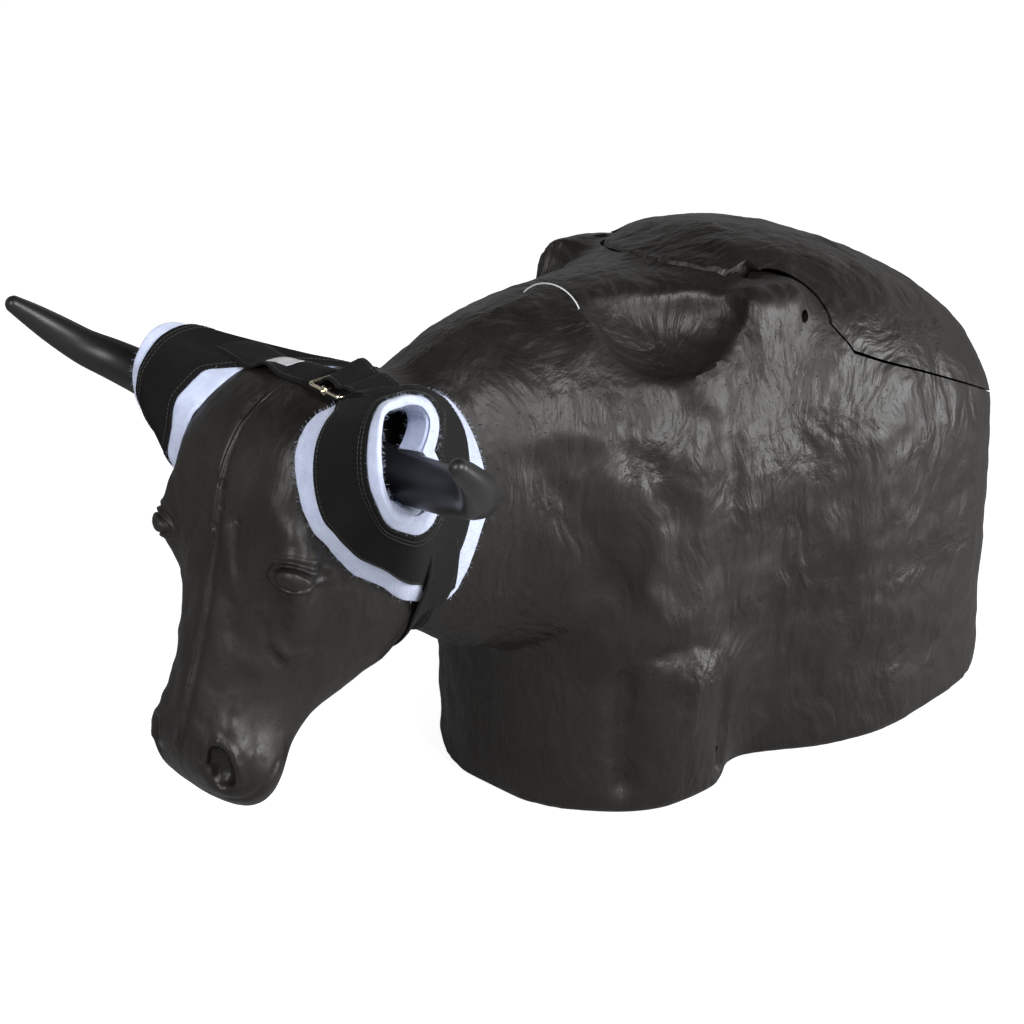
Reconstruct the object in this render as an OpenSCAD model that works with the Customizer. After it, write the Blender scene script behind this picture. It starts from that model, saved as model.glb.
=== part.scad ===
// Roping practice steer: a hollow moulded body with a hinged rump lid, two horns,
// and a pair of felt-lined horn wraps buckled over the poll.
// The nose points along -X, the animal's left side is -Y, and the base stands on Z = 0.

/* [Body] */
// Length of the body from the chest to the rump
barrel_length = 730; // [660:5:800]
// Greatest width of the body
barrel_width = 474; // [430:2:520]
// Height of the crest where the rump lid starts
crest_height = 566; // [530:2:610]
// Distance from the chest forward to the crown of the head
neck_length = 230; // [215:5:250]
// Wall of the moulded shell
wall = 6; // [4.5:0.5:8]

/* [Head] */
// Length of the head from the crown to the end of the muzzle
head_length = 400; // [380:5:420]
// Width of the head across the eyes
head_width = 200; // [190:2:212]
// Height of the forehead above the middle of the head
brow_depth = 100; // [94:1:106]
// Lean of the head away from hanging straight down
head_pitch = 26; // [23:1:29]

/* [Lid and hinge] */
// Diameter of the hinge rod
rod_d = 12; // [10:0.5:14]
// Outer diameter of the plastic bushes
bush_d = 20; // [18:0.5:24]
// Radius of the rounded knuckle over the hinge
knuckle_r = 35; // [32:1:38]
// Reach of the lid's front lip ahead of the hinge
lip_reach = 88; // [82:1:94]
// Half the width of the lid between the knuckles
lid_half = 90; // [84:1:94]
// Thickness of the lid's two hinge ears
ear_t = 10; // [8:0.5:12]
// Open seam round the lid
lid_gap = 1.5; // [1:0.1:2.5]

/* [Horns] */
// Diameter of a horn where it leaves the skull
horn_d = 50; // [46:1:52]
// Diameter of the blunt tip
horn_tip_d = 17; // [14:1:20]
// How far the plug of a horn sits in the skull
plug_depth = 26; // [20:1:30]
// Diameter of the bolt that holds a horn
horn_bolt_d = 10; // [8:1:12]

/* [Wraps] */
// Thickness of the felt
felt_t = 8; // [6:0.5:9]
// Thickness of the webbing
webbing_t = 2.5; // [2:0.1:3]
// Width of the straps
strap_w = 51; // [45:1:55]
// Width of felt left bare along the head
hem = 22; // [18:1:26]
// Width of felt left bare at the cuff
cuff_lip = 14; // [10:1:18]
// Diameter of the buckle wire
wire_d = 4; // [3:0.2:5]
// Reach of the buckle along the strap
buckle_reach = 42; // [40:1:50]

/* [Hidden] */

plastic = [.15, .145, .135];
felt = [.80, .84, .93];
webbing = [.07, .07, .07];
steel = [.72, .70, .66];
gold = [.80, .74, .62];

skin_gap = .4;    // felt and webbing off the plastic
layer_gap = .4;   // webbing off the felt
fit_gap = .15;    // parts pressed or seated in pockets
rod_gap = .08;    // rod inside its bushes
big = 1500;

// Rows of [share of the length, share of the size]: the crest, the middle and the base of the body
torso_top = [[0, .60], [.045, .80], [.10, .93], [.16, .972], [.224, .982], [.295, .993], [.327, 1], [.381, 1.012],
    [.449, 1.024], [.531, 1.015], [.626, .988], [.721, .94], [.816, .872], [.898, .79], [.952, .712],
    [.984, .645], [1, .605]];
torso_mid = [[0, .40], [.045, .54], [.10, .69], [.16, .75], [.224, .80], [.327, .825], [.381, .85], [.449, .91],
    [.531, .98], [.626, 1], [.721, .985], [.816, .955], [.898, .92], [1, .87]];
torso_base = [[0, .50], [.045, .53], [.085, .62], [.136, .72], [.224, .755], [.26, .74], [.295, .67], [.34, .65],
    [.40, .75], [.449, .85], [.53, .95], [.60, .985], [.72, .97], [.82, .95], [1, .93]];

// Rows of [share from crown to shoulder, top and bottom as shares of the crest height, half width as a share]
neck_rows = [[0, .956, .60, .27], [.096, .952, .51, .33], [.235, .928, .43, .365], [.353, .952, .372, .43],
    [.416, .962, .35, .48], [.499, .974, .325, .55], [.588, .985, .29, .625], [.711, .993, .21, .70],
    [.884, .997, .175, .73], [1, .993, .175, .73]];

// Rows of [share of the head's length, front and back as shares of the brow, half width as a share]
head_rows = [[-.12, .20, -.60, .55], [-.07, .56, -1.00, .84], [0, .83, -1.30, .96], [.055, .94, -1.45, 1.02],
    [.117, .985, -1.55, 1.05], [.21, .98, -1.65, 1.05], [.275, .92, -1.68, 1.02], [.36, .83, -1.68, .98],
    [.43, .74, -1.65, .92], [.50, .70, -1.55, .82], [.605, .61, -1.16, .68], [.675, .585, -.88, .61],
    [.75, .55, -.66, .65], [.805, .51, -.58, .73], [.862, .42, -.52, .75], [.912, .22, -.42, .66],
    [.94, 0, -.30, .42], [.95, -.08, -.22, .05]];

// Rows of [angle, reach, distance from the middle plane]: where a wrap meets the head, and its cuff
wrap_base = [[-8, 120, 95], [5, 118, 88], [23, 121, 76], [37, 126, 58], [56, 115, 52], [78, 111, 60],
    [101, 118, 66], [113, 129, 71], [119, 133, 73], [127, 140, 73], [135, 143, 76], [143, 144, 82],
    [156, 133, 86], [172, 121, 97], [183, 103, 99], [200, 88, 100], [241, 76, 100], [278, 107, 93],
    [294, 133, 80], [306, 143, 78], [316, 137, 84], [334, 123, 92], [352, 120, 95], [365, 118, 88]];
right_cuff = [[4, 43], [33, 35], [50, 50], [65, 61], [79, 65], [104, 64], [131, 52], [150, 45], [183, 37],
    [222, 38], [257, 45], [286, 54], [316, 60], [342, 56], [364, 43]];
left_cuff = [[4, 40], [12, 56], [19, 66], [27, 69], [41, 67], [61, 62], [89, 61], [112, 68], [124, 65], [136, 59],
    [152, 54], [168, 51], [190, 48], [213, 47], [242, 45], [262, 47], [280, 54], [300, 61], [320, 63], [338, 58],
    [352, 47], [364, 40]];

front_cap = .095; // share of the body's length that the chest rounds over
rear_cap = .25;   // share of the body's length that the rump rounds over
mid_level = .53;  // share of the crest height where the body is widest
neck_end = .295;  // share of the body's length where the neck has run out
poll_level = .877; // height of the crown as a share of the crest height
foot_r = 8;       // rounding of the foot of the body
cuffs = [[left_cuff, 1, -.45, .179], [right_cuff, .86, .157, .179]]; // outline, height, and lean of each cuff

// Smooth curve through the rows of a table
function row_of(x, t, i = 0) = i >= len(t) - 2 || x < t[i + 1][0] ? i : row_of(x, t, i + 1);
function slope(t, i, c) =
    let (a = max(i - 1, 0), b = min(i + 1, len(t) - 1)) (t[b][c] - t[a][c]) / (t[b][0] - t[a][0]);
function curve(x, t, c = 1) =
    let (i = row_of(x, t), h = t[i + 1][0] - t[i][0], u = (x - t[i][0]) / h,
         p = t[i][c], q = t[i + 1][c], m = slope(t, i, c) * h, n = slope(t, i + 1, c) * h)
    (2 * pow(u, 3) - 3 * pow(u, 2) + 1) * p + (pow(u, 3) - 2 * pow(u, 2) + u) * m
    + (3 * pow(u, 2) - 2 * pow(u, 3)) * q + (pow(u, 3) - pow(u, 2)) * n;
function clamp(x, a, b) = min(max(x, a), b);
function bow(t, p) = pow(1 - pow(1 - clamp(t, 0, 1), p), 1 / p);
function spow(v, e) = sign(v) * pow(abs(v), e);
function mean(v) = [for (i = v) 1] * v / len(v);
function unit(v) = v / norm(v);

// Closed skin through rings of equal point counts
module skin(rings) {
    n = len(rings[0]);
    k = len(rings);
    pts = concat([for (r = rings) each r], [mean(rings[0]), mean(rings[k - 1])]);
    side = [for (i = [0 : k - 2], j = [0 : n - 1]) let (a = i * n + j, b = i * n + (j + 1) % n)
        each [[a, b, b + n], [a, b + n, a + n]]];
    ends = [for (j = [0 : n - 1]) let (m = (j + 1) % n)
        each [[k * n, m, j], [k * n + 1, (k - 1) * n + j, (k - 1) * n + m]]];
    polyhedron(points = pts, faces = concat(side, ends));
}

// Skin of a hollow tube, from its outer and its inner rings
module tube_skin(outer, inner) {
    n = len(outer[0]);
    k = len(outer);
    h = n * k;
    pts = concat([for (r = outer) each r], [for (r = inner) each r]);
    side = [for (i = [0 : k - 2], j = [0 : n - 1]) let (a = i * n + j, b = i * n + (j + 1) % n)
        each [[a, b, b + n], [a, b + n, a + n], [a + h, b + n + h, b + h], [a + h, a + n + h, b + n + h]]];
    rims = [for (j = [0 : n - 1]) let (m = (j + 1) % n, e = (k - 1) * n)
        each [[j, j + h, m + h], [j, m + h, m], [e + j, e + m, e + m + h], [e + j, e + m + h, e + j + h]]];
    polyhedron(points = pts, faces = concat(side, rims));
}

// Free-form pieces are joined as one mesh
module one_mesh() resize([0, 0, 0]) children();

// Stands children along the line from a to b
module along(a, b) {
    d = b - a;
    translate(a) rotate([0, acos(d[2] / norm(d)), atan2(d[1], d[0])]) children();
}
module left_and_right() {
    children();
    mirror([0, 1, 0]) children();
}

head_k = head_length / 400; // the tables of the wraps and the horns are drawn for a 400 mm head
head_reach = max([for (r = head_rows) head_length * r[0] * sin(head_pitch) + brow_depth * r[1] * cos(head_pitch)]);
overall_length = barrel_length + neck_length + head_reach;
chest_x = overall_length / 2 - barrel_length;
crown_x = chest_x - neck_length;
crown_z = crest_height * poll_level;
neck_end_x = chest_x + barrel_length * neck_end;
hinge_x = chest_x + barrel_length * .427;
hinge_z = crest_height * .913;

// One ring of the body at a share s of its length, drawn inwards by t
function torso_ring(s, t, n) =
    let (cap = bow((s + .003) / front_cap, 2.2) * bow((1.003 - s) / rear_cap, 2.3),
         x = chest_x + t + (barrel_length - 2 * t) * s,
         zc = crest_height * mid_level,
         zt = crest_height * curve(s, torso_top) - t,
         a = max(barrel_width / 2 * curve(s, torso_mid) * cap - t, 1),
         b = max(barrel_width / 2 * curve(s, torso_base) * cap - t, 1),
         zf = t + foot_r,
         upper = [for (i = [n : -1 : 0]) let (g = 90 * i / n)
             [a * pow(cos(g), 2 / 2.5), zc + (zt - zc) * pow(sin(g), 2 / 2.5)]],
         lower = [for (i = [1 : n - 3]) let (u = 1 - i / (n - 3)) [b + (a - b) * sin(90 * u), zf + (zc - zf) * u]],
         side = concat(upper, lower, [[max(b - foot_r / 2, .8), t]]))
    concat([for (i = [len(side) - 1 : -1 : 1]) [x, -side[i][0], side[i][1]]], [for (p = side) [x, p[0], p[1]]]);

module torso(t = 0, stations = 36, n = 9) {
    skin([for (i = [0 : stations]) torso_ring((1 - cos(180 * i / stations)) / 2, t, n)]);
}

function neck_ring(s, t, n) =
    let (x = crown_x + (neck_end_x - crown_x) * s,
         zt = crest_height * curve(s, neck_rows, 1) - t,
         zb = crest_height * curve(s, neck_rows, 2) + t,
         a = barrel_width / 2 * curve(s, neck_rows, 3) - t,
         zc = (zt + zb) / 2)
    [for (i = [0 : n - 1]) let (g = 360 * i / n)
        [x, a * spow(sin(g), 2 / 2.1), zc + (zt - zb) / 2 * spow(cos(g), 2 / 2.1)]];

module neck(t = 0, stations = 10, n = 24) {
    skin([for (i = [0 : stations]) neck_ring(i / stations, t, n)]);
}

// A point of the head from its share s of the length, height h above the middle, and side y
function head_point(s, h, y) =
    [crown_x - head_length * s * sin(head_pitch) - h * cos(head_pitch), y,
     crown_z - head_length * s * cos(head_pitch) + h * sin(head_pitch)];

function head_ring(s, t, n) =
    let (f = brow_depth * curve(s, head_rows, 1), b = brow_depth * curve(s, head_rows, 2),
         a = max(head_width / 2 * curve(s, head_rows, 3) - t, 1), c = (f + b) / 2, d = max((f - b) / 2 - t, 1),
         e = 2 / (2.5 + 1.7 * clamp((.42 - s) / .2, 0, 1)))
    [for (i = [0 : n - 1]) let (g = 360 * i / n)
        head_point(s, c + d * spow(sin(g), e), a * spow(cos(g), e))];

module head(t = 0, stations = 22, n = 28) {
    s0 = head_rows[0][0] + t / head_length;
    s1 = head_rows[len(head_rows) - 1][0] - t / head_length;
    skin([for (i = [0 : stations]) head_ring(s0 + (s1 - s0) * i / stations, t, n)]);
}

// Shoulder hollows that a rope drops into
scoop_balls = [[[.206, .268, .962], [88, 56, 60]], [[.150, .155, .993], [32, 26, 24]]];
module scoops(grow = 0) {
    left_and_right() for (b = scoop_balls)
        translate([chest_x + barrel_length * b[0][0], barrel_width * b[0][1], crest_height * b[0][2]])
            scale(b[1] + [grow, grow, grow]) sphere(r = 1, $fn = 20);
}

// The region that the lid fills, grown by g: all that lies over the side seam,
// round the knuckles, and a lip turned about the hinge
seam = [[.498, .834], [.55, .804], [.632, .763], [.755, .698], [.913, .611], [1.03, .574]];
lip_drop = 31;
knuckle_gap = 3;
module lid_space(g = 0) {
    arc = [for (i = [0 : 10]) let (q = 100 - 12.2 * i)
        [hinge_x + (knuckle_r + knuckle_gap) * cos(q), hinge_z + (knuckle_r + knuckle_gap) * sin(q)]];
    line = [for (p = seam) [chest_x + barrel_length * p[0], crest_height * p[1]]];
    rotate([90, 0, 0]) linear_extrude(height = big, center = true)
        offset(delta = g) polygon(concat(arc, line, [[big, line[5][1]], [big, big], [arc[0][0], big]]));
    skin([for (i = [-8 : 8]) let (y = (lid_half + g) * i / 8, r = lip_reach + g - lip_drop * pow(i / 8, 2))
        [for (j = [0 : 47]) [hinge_x + r * cos(7.5 * j), y, hinge_z + r * sin(7.5 * j)]]]);
}

// The knuckles that the hinge rod passes through
knuckle_in = lid_half + 4;
knuckle_out = barrel_width * .347;
// Balls that round it off, as [x from the hinge, reach past knuckle_out, height over the hinge, radius]
knuckle_balls = [[-4, 0, 5, 31], [-62, -4, 10, 30], [-62, -14, 4, 28], [-60, 10, -44, 27], [0, 8, -46, 24]];
module knuckles() {
    left_and_right() hull() {
        translate([hinge_x, knuckle_in + 44, hinge_z]) rotate([90, 0, 0]) cylinder(r = knuckle_r, h = 44, $fn = 28);
        for (b = knuckle_balls) translate([hinge_x + b[0], knuckle_out + b[1] - b[3], hinge_z + b[2]])
            sphere(r = b[3], $fn = 16);
    }
}

// Room for the front edges of the lid's sides to swing down into
swing_angle = 40;
module lid_swing() {
    r0 = knuckle_r + knuckle_gap / 2;
    r1 = crest_height * .081 + 3;
    q = [for (i = [0 : 6]) 92 + (swing_angle + 14) * i / 6];
    translate([hinge_x, knuckle_in + 24, hinge_z]) rotate([90, 0, 0]) linear_extrude(height = 27)
        polygon(concat([for (a = q) r0 * [cos(a), sin(a)]],
                       [for (i = [6 : -1 : 0]) r1 * (i < 3 ? 1.5 : 1) * [cos(q[i]), sin(q[i])]]));
}

// Brow and muzzle swellings, as [share, height, side, radius] at both ends
swellings = [[.25, 58, 1.02, 20, .34, 54, 1.13, 24], [.38, 40, 1.0, 20, .45, 20, .88, 18],
    [.80, 12, .74, 22, .87, 0, .66, 24]];
module face(grow = 0) {
    left_and_right() for (w = swellings) hull() {
        translate(head_point(w[0], w[1], w[2] * head_width / 2 - w[3])) sphere(r = w[3] + grow, $fn = 12);
        translate(head_point(w[4], w[5], w[6] * head_width / 2 - w[7])) sphere(r = w[7] + grow, $fn = 12);
    }
}
module nostrils() {
    left_and_right() translate(head_point(.895, 26, head_width * .23)) rotate([0, 30, 30])
        scale([16, 10, 20]) sphere(r = 1, $fn = 16);
}

// Middle line of the right horn, from the crown
horn_path = [[-19, 88, -12], [-24, 130, -10], [-30, 170, -6], [-34, 208, -2], [-39, 240, 4], [-49, 266, 12],
    [-65, 287, 23], [-84, 304, 40], [-103, 315, 57], [-123, 322, 74]];
horn_last = len(horn_path) - 1;
boss_floor = 14; // plastic under the floor of a horn's socket
washer_h = 2.5;
function horn_at(i) = let (p = horn_path[i] * head_k)
    [crown_x + p[0], p[1] + .44 * head_width - horn_path[0][1] * head_k, crown_z + p[2]];
horn_base = horn_at(0);
plug_dir = unit(horn_at(0) - horn_at(1));
plug_end = horn_base + plug_dir * plug_depth;
bolt_end = plug_end + plug_dir * boss_floor;

function horn_r(i) = let (u = i / horn_last) (horn_d / 2 - 1) * (1 - pow(u, 2.6)) + horn_tip_d / 2 * pow(u, 2.6);
function horn_ring(c, d, r, n = 20) =
    let (w = unit(cross(d, [0, 0, 1])), v = cross(w, d))
    [for (j = [0 : n - 1]) c + r * cos(360 * j / n) * w + r * sin(360 * j / n) * v];
function horn_rings(t) =
    let (tip_dir = unit(horn_at(horn_last) - horn_at(horn_last - 1)), tip_r = horn_tip_d / 2 + t,
         length = [for (i = [0 : horn_last]) let (a = horn_at(max(i - 1, 0)), b = horn_at(min(i + 1, horn_last)))
             horn_ring(horn_at(i), unit(b - a), horn_r(i) + t)],
         dome = [for (q = [30, 60, 80]) horn_ring(horn_at(horn_last) + tip_dir * tip_r * sin(q), tip_dir, tip_r * cos(q))])
    concat([horn_ring(plug_end, -plug_dir, horn_d / 2 + t), horn_ring(horn_base + plug_dir * 2, -plug_dir, horn_d / 2 + t)],
           length, dome);
module horn_form(t = 0) skin(horn_rings(t));

module round_pocket(r, h) cylinder(r = (r + fit_gap) / cos(180 / 32), h = h, $fn = 32);
module horn_boss() hull() {
    along(bolt_end, horn_base) cylinder(r = horn_d / 2 + 9, h = 1, $fn = 32);
    along(bolt_end, horn_base) translate([0, 0, plug_depth + boss_floor])
        cylinder(r = horn_d / 2 + 14, h = 10, $fn = 32);
}

module body_shell() color(plastic) one_mesh() difference() {
    union() {
        difference() {
            union() {
                torso();
                neck();
                head();
                face();
            }
            scoops();
            nostrils();
            difference() {
                union() {
                    torso(wall + .6, 18, 6);
                    neck(wall + .6, 5, 12);
                    head(wall + .6, 11, 16);
                }
                scoops(wall);
            }
        }
        intersection() {
            left_and_right() horn_boss();
            head(wall / 2);
        }
        knuckles();
    }
    lid_space(lid_gap);
    left_and_right() {
        along(plug_end, horn_base) round_pocket(horn_d / 2, 60);
        along(horn_base, bolt_end) cylinder(r = horn_bolt_d / 2 + .5, h = 90, $fn = 24);
        translate([hinge_x, knuckle_in + bush_length, hinge_z]) rotate([90, 0, 0])
            round_pocket(bush_d / 2, bush_length + 10);
        translate([hinge_x, knuckle_out + 40, hinge_z]) rotate([90, 0, 0])
            cylinder(r = rod_d / 2 + 1, h = 100, $fn = 24);
        translate([hinge_x, knuckle_in, hinge_z]) rotate([90, 0, 0])
            cylinder(r = bush_d / 2 + 5, h = knuckle_in, $fn = 32);
        lid_swing();
    }
}

bush_length = 44;
ear_y = lid_half - 2; // outer face of an ear
module lid_ears() {
    left_and_right() hull() {
        translate([hinge_x, ear_y, hinge_z]) rotate([90, 0, 0]) cylinder(r = bush_d / 2 + 7, h = ear_t, $fn = 32);
        for (x = [-.6, 1.3]) translate([hinge_x + x * knuckle_r, ear_y, hinge_z + 1.7 * knuckle_r]) rotate([90, 0, 0])
            cylinder(r = 10, h = ear_t, $fn = 16);
    }
}

module rump_lid() color(plastic) one_mesh() difference() {
    union() {
        intersection() {
            difference() {
                torso();
                torso(wall - 1, 26, 7);
            }
            lid_space();
        }
        intersection() {
            lid_ears();
            torso(2, 26, 7);
        }
    }
    translate([hinge_x, lid_half + 5, hinge_z]) rotate([90, 0, 0]) round_pocket(bush_d / 2, 2 * lid_half + 10);
}

// Hinge hardware, on the hinge axis from a distance y to the right of the middle
module on_hinge(y) translate([hinge_x, y, hinge_z]) rotate([-90, 0, 0]) children();
module ring(outer_d, length) difference() {
    cylinder(d = outer_d, h = length, $fn = 64);
    translate([0, 0, -1]) cylinder(d = rod_d + 2 * rod_gap, h = length + 2, $fn = 64);
}
rod_end = knuckle_in + bush_length - 2;
washer_t = knuckle_in - ear_y - .6;
module hinge_rod() color(steel) on_hinge(-rod_end) cylinder(d = rod_d, h = 2 * rod_end, $fn = 64);
module right_hinge_bush() color("white") on_hinge(knuckle_in) ring(bush_d, bush_length);
module left_hinge_bush() mirror([0, 1, 0]) right_hinge_bush();
module right_lid_bush() color("white") on_hinge(ear_y - ear_t) ring(bush_d, ear_t);
module left_lid_bush() mirror([0, 1, 0]) right_lid_bush();
module rod_washers() color(steel) left_and_right() on_hinge(ear_y + .3) ring(bush_d + 6, washer_t);

module right_horn() color(plastic) difference() {
    horn_form();
    along(plug_end + plug_dir * 10, horn_base) cylinder(d = horn_bolt_d + .2, h = plug_depth + 20, $fn = 48);
}
module left_horn() mirror([0, 1, 0]) right_horn();
bolt_head = horn_bolt_d * .64;
module horn_bolts() color(steel) left_and_right() along(bolt_end + plug_dir * (washer_h + bolt_head), horn_base) {
    cylinder(r = horn_bolt_d * .98, h = bolt_head, $fn = 6);
    cylinder(d = horn_bolt_d, h = bolt_head + washer_h + boss_floor + plug_depth + 6, $fn = 48);
}
module horn_washers() color(steel) left_and_right() along(bolt_end + plug_dir * washer_h, horn_base) difference() {
    cylinder(d = horn_bolt_d * 2.2, h = washer_h, $fn = 48);
    translate([0, 0, -1]) cylinder(d = horn_bolt_d + .3, h = 2 * washer_h, $fn = 48);
}

// A wrap is a felt cone from the head to the cuff round the horn, drawn for the right side.
// A point of it lies at angle g, share v from the head to the cuff, and offset w outwards.
base_mid = [crown_x + 21 * head_k, crown_z - 72 * head_k];
cuff_mid = [crown_x - 52 * head_k, crown_z + 16 * head_k];
cuff_y = .44 * head_width + 93 * head_k;
function base_point(g, w) = let (r = head_k * curve(g, wrap_base) + w)
    [base_mid[0] + r * cos(g), head_width / 200 * curve(g, wrap_base, 2), base_mid[1] + r * sin(g)];
function cuff_point(g, w, side) =
    let (c = cuffs[side], r = head_k * curve(g < 4 ? g + 360 : g, c[0]) + w, x = r * cos(g),
         z = r * sin(g) * (g < 180 ? c[1] : 1))
    [cuff_mid[0] + x, cuff_y + c[2] * x - c[3] * z, cuff_mid[1] + z];
function wrap_point(g, v, w, side) = base_point(g, w) * (1 - v) + cuff_point(g, w, side) * v;
cone_run = norm(cuff_point(160, 0, 1) - base_point(160, 0));
wrap_steps = [-.25, 0, hem / cone_run, .5, 1 - cuff_lip / cone_run, 1];
function wrap_rings(w, side, i0 = 0, i1 = 5, n = 36) =
    [for (i = [i0 : i1]) [for (j = [0 : n - 1]) wrap_point(360 * j / n, wrap_steps[i], w, side)]];

module near_head(t) {
    neck(-t);
    head(-t);
    face(t);
    torso(-t);
}
module felt_liner(side) color(felt) one_mesh() difference() {
    tube_skin(wrap_rings(0, side), wrap_rings(-felt_t, side));
    near_head(skin_gap);
    horn_form(skin_gap);
    translate([0, -big, 0]) cube([2 * big, 2 * big, 2 * big], center = true);
}
module webbing_cover(side) color(webbing) one_mesh() difference() {
    tube_skin(wrap_rings(layer_gap + webbing_t, side, 2, 4), wrap_rings(layer_gap, side, 2, 4));
    near_head(skin_gap);
}
module right_felt_liner() felt_liner(1);
module left_felt_liner() mirror([0, 1, 0]) felt_liner(0);
module right_webbing_cover() webbing_cover(1);
module left_webbing_cover() mirror([0, 1, 0]) webbing_cover(0);

// Straps that hug the head: a slab of space between two skins round it
module strap_skin(t0, t1) intersection() {
    difference() {
        union() {
            neck(-t1);
            head(-t1);
        }
        neck(-t0);
        head(-t0);
    }
    children();
}
strap_x = crown_x - 11 * head_k;
module wrap_outside(g) {
    skin(wrap_rings(layer_gap + webbing_t + g, 1));
    mirror([0, 1, 0]) skin(wrap_rings(layer_gap + webbing_t + g, 0));
}
module crown_strap() color(webbing) one_mesh() difference() {
    strap_skin(skin_gap, skin_gap + webbing_t)
        translate([strap_x - strap_w / 2, -75 * head_k, crown_z]) cube([strap_w, 150 * head_k, 120 * head_k]);
    wrap_outside(-2.6);
}
throat_x = crown_x + 62 * head_k;
module throat_strap() color(webbing) one_mesh() difference() {
    strap_skin(skin_gap, skin_gap + webbing_t)
        translate([throat_x, 0, crown_z - 190 * head_k]) rotate([0, -12, 0])
            translate([-strap_w / 2, -150 * head_k, -150 * head_k]) cube([strap_w, 300 * head_k, 165 * head_k]);
    wrap_outside(.3);
}

// Buckle: a wire frame that turns on the bar that the strap is folded over
bar = [strap_x, -.3 * head_width, crown_z + .108 * head_length + .132 * brow_depth];
buckle_tilt = 5;
rail_x = strap_w / 2 + 2 + wire_d;
module at_bar() translate(bar) rotate([buckle_tilt, 0, 0]) children();
module wire(a, b) along(a, b) cylinder(d = wire_d, h = norm(b - a), $fn = 32);
module buckle_frame() color(gold) at_bar() difference() {
    union() for (s = [-1, 1]) {
        wire([-rail_x, s * buckle_reach / 2, 0], [rail_x, s * buckle_reach / 2, 0]);
        wire([s * rail_x, -buckle_reach / 2, 0], [s * rail_x, buckle_reach / 2, 0]);
        translate([s * rail_x, 0, 0]) rotate([0, 90, 0]) cylinder(d = wire_d * 2, h = wire_d, center = true, $fn = 48);
        for (q = [-1, 1]) translate([s * rail_x, q * buckle_reach / 2, 0]) sphere(d = wire_d, $fn = 32);
    }
    rotate([0, 90, 0]) cylinder(d = wire_d + 2 * rod_gap, h = big, center = true, $fn = 48);
}
module buckle_bar() color(gold) at_bar() rotate([0, 90, 0])
    cylinder(d = wire_d, h = 2 * rail_x + wire_d, center = true, $fn = 48);

// The strap's tail, folded over the bar and down on both sides of it
fold_r = wire_d / 2 + .4;
legs = [[-1, 15, -4.5], [1, 14, -3.3]];
module buckle_strap() color(webbing) at_bar() rotate([90, 0, 90]) linear_extrude(height = strap_w, center = true) {
    difference() {
        circle(r = fold_r + webbing_t, $fn = 48);
        circle(r = fold_r, $fn = 48);
        translate([-20, -40]) square([40, 40]);
    }
    for (q = legs) let (s = q[0]) polygon([[s * fold_r, .01], [s * (fold_r + webbing_t), .01],
        [s * (q[1] + .6), q[2]], [s * q[1], q[2] - webbing_t * .9], [s * fold_r, -1.8]]);
}

module crown_label() color([.75, .75, .78]) one_mesh()
    strap_skin(skin_gap + webbing_t + .3, skin_gap + webbing_t + 1)
        translate([strap_x - 8, 22, crown_z]) cube([22, 30, 120]);

// Loop of thin cord that stands on the crest of the neck
cord_d = 1.6;
tag_half = 56;
function neck_top(x, y) =
    let (s = (x - crown_x) / (neck_end_x - crown_x), a = barrel_width / 2 * curve(s, neck_rows, 3),
         zt = crest_height * curve(s, neck_rows, 1), zb = crest_height * curve(s, neck_rows, 2))
    (zt + zb) / 2 + (zt - zb) / 2 * pow(1 - pow(abs(y) / a, 2.1), 1 / 2.1);
function tag_end(x, y, sink) = [chest_x + x, y, neck_top(chest_x + x, y) + cord_d / 2 - sink];
tag_ends = [tag_end(62, 10, .7), tag_end(79.6, -52, .7)];
module tag_loop() color([.7, .7, .7]) {
    d = tag_ends[1] - tag_ends[0];
    r = norm(d) / 2 / sin(tag_half);
    translate((tag_ends[0] + tag_ends[1]) / 2) rotate([0, -asin(d[2] / norm(d)), atan2(d[1], d[0])])
        rotate([90, 0, 0]) translate([0, -r * cos(tag_half)]) rotate([0, 0, 90 - tag_half])
            rotate_extrude(angle = 2 * tag_half, $fn = 64) translate([r, 0]) circle(d = cord_d, $fn = 16);
}

body_shell();
rump_lid();
hinge_rod();
left_hinge_bush();
right_hinge_bush();
left_lid_bush();
right_lid_bush();
rod_washers();
left_horn();
right_horn();
horn_bolts();
horn_washers();
left_felt_liner();
right_felt_liner();
left_webbing_cover();
right_webbing_cover();
crown_strap();
buckle_strap();
buckle_frame();
buckle_bar();
throat_strap();
crown_label();
tag_loop();
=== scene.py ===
# %% [markdown]
# # A roping practice steer with horn wraps
# The real thing is a hollow black plastic steer that ropers practise on. A lid over the rump turns on a rod
# through two knuckles at the shoulder. Felt-lined cones of webbing protect the horns and ears from the rope.
# The CAD model gives the places and the sizes. This lesson builds the looks on top of it, in the same frame.
# All tables below are in millimetres or in shares of a size, and the finished meshes are in metres.

# %% Load the frame
import math

import bmesh
import bpy
import numpy as np
from mathutils import Matrix, Vector, noise
from mathutils.bvhtree import BVHTree
from mathutils.kdtree import KDTree


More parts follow.
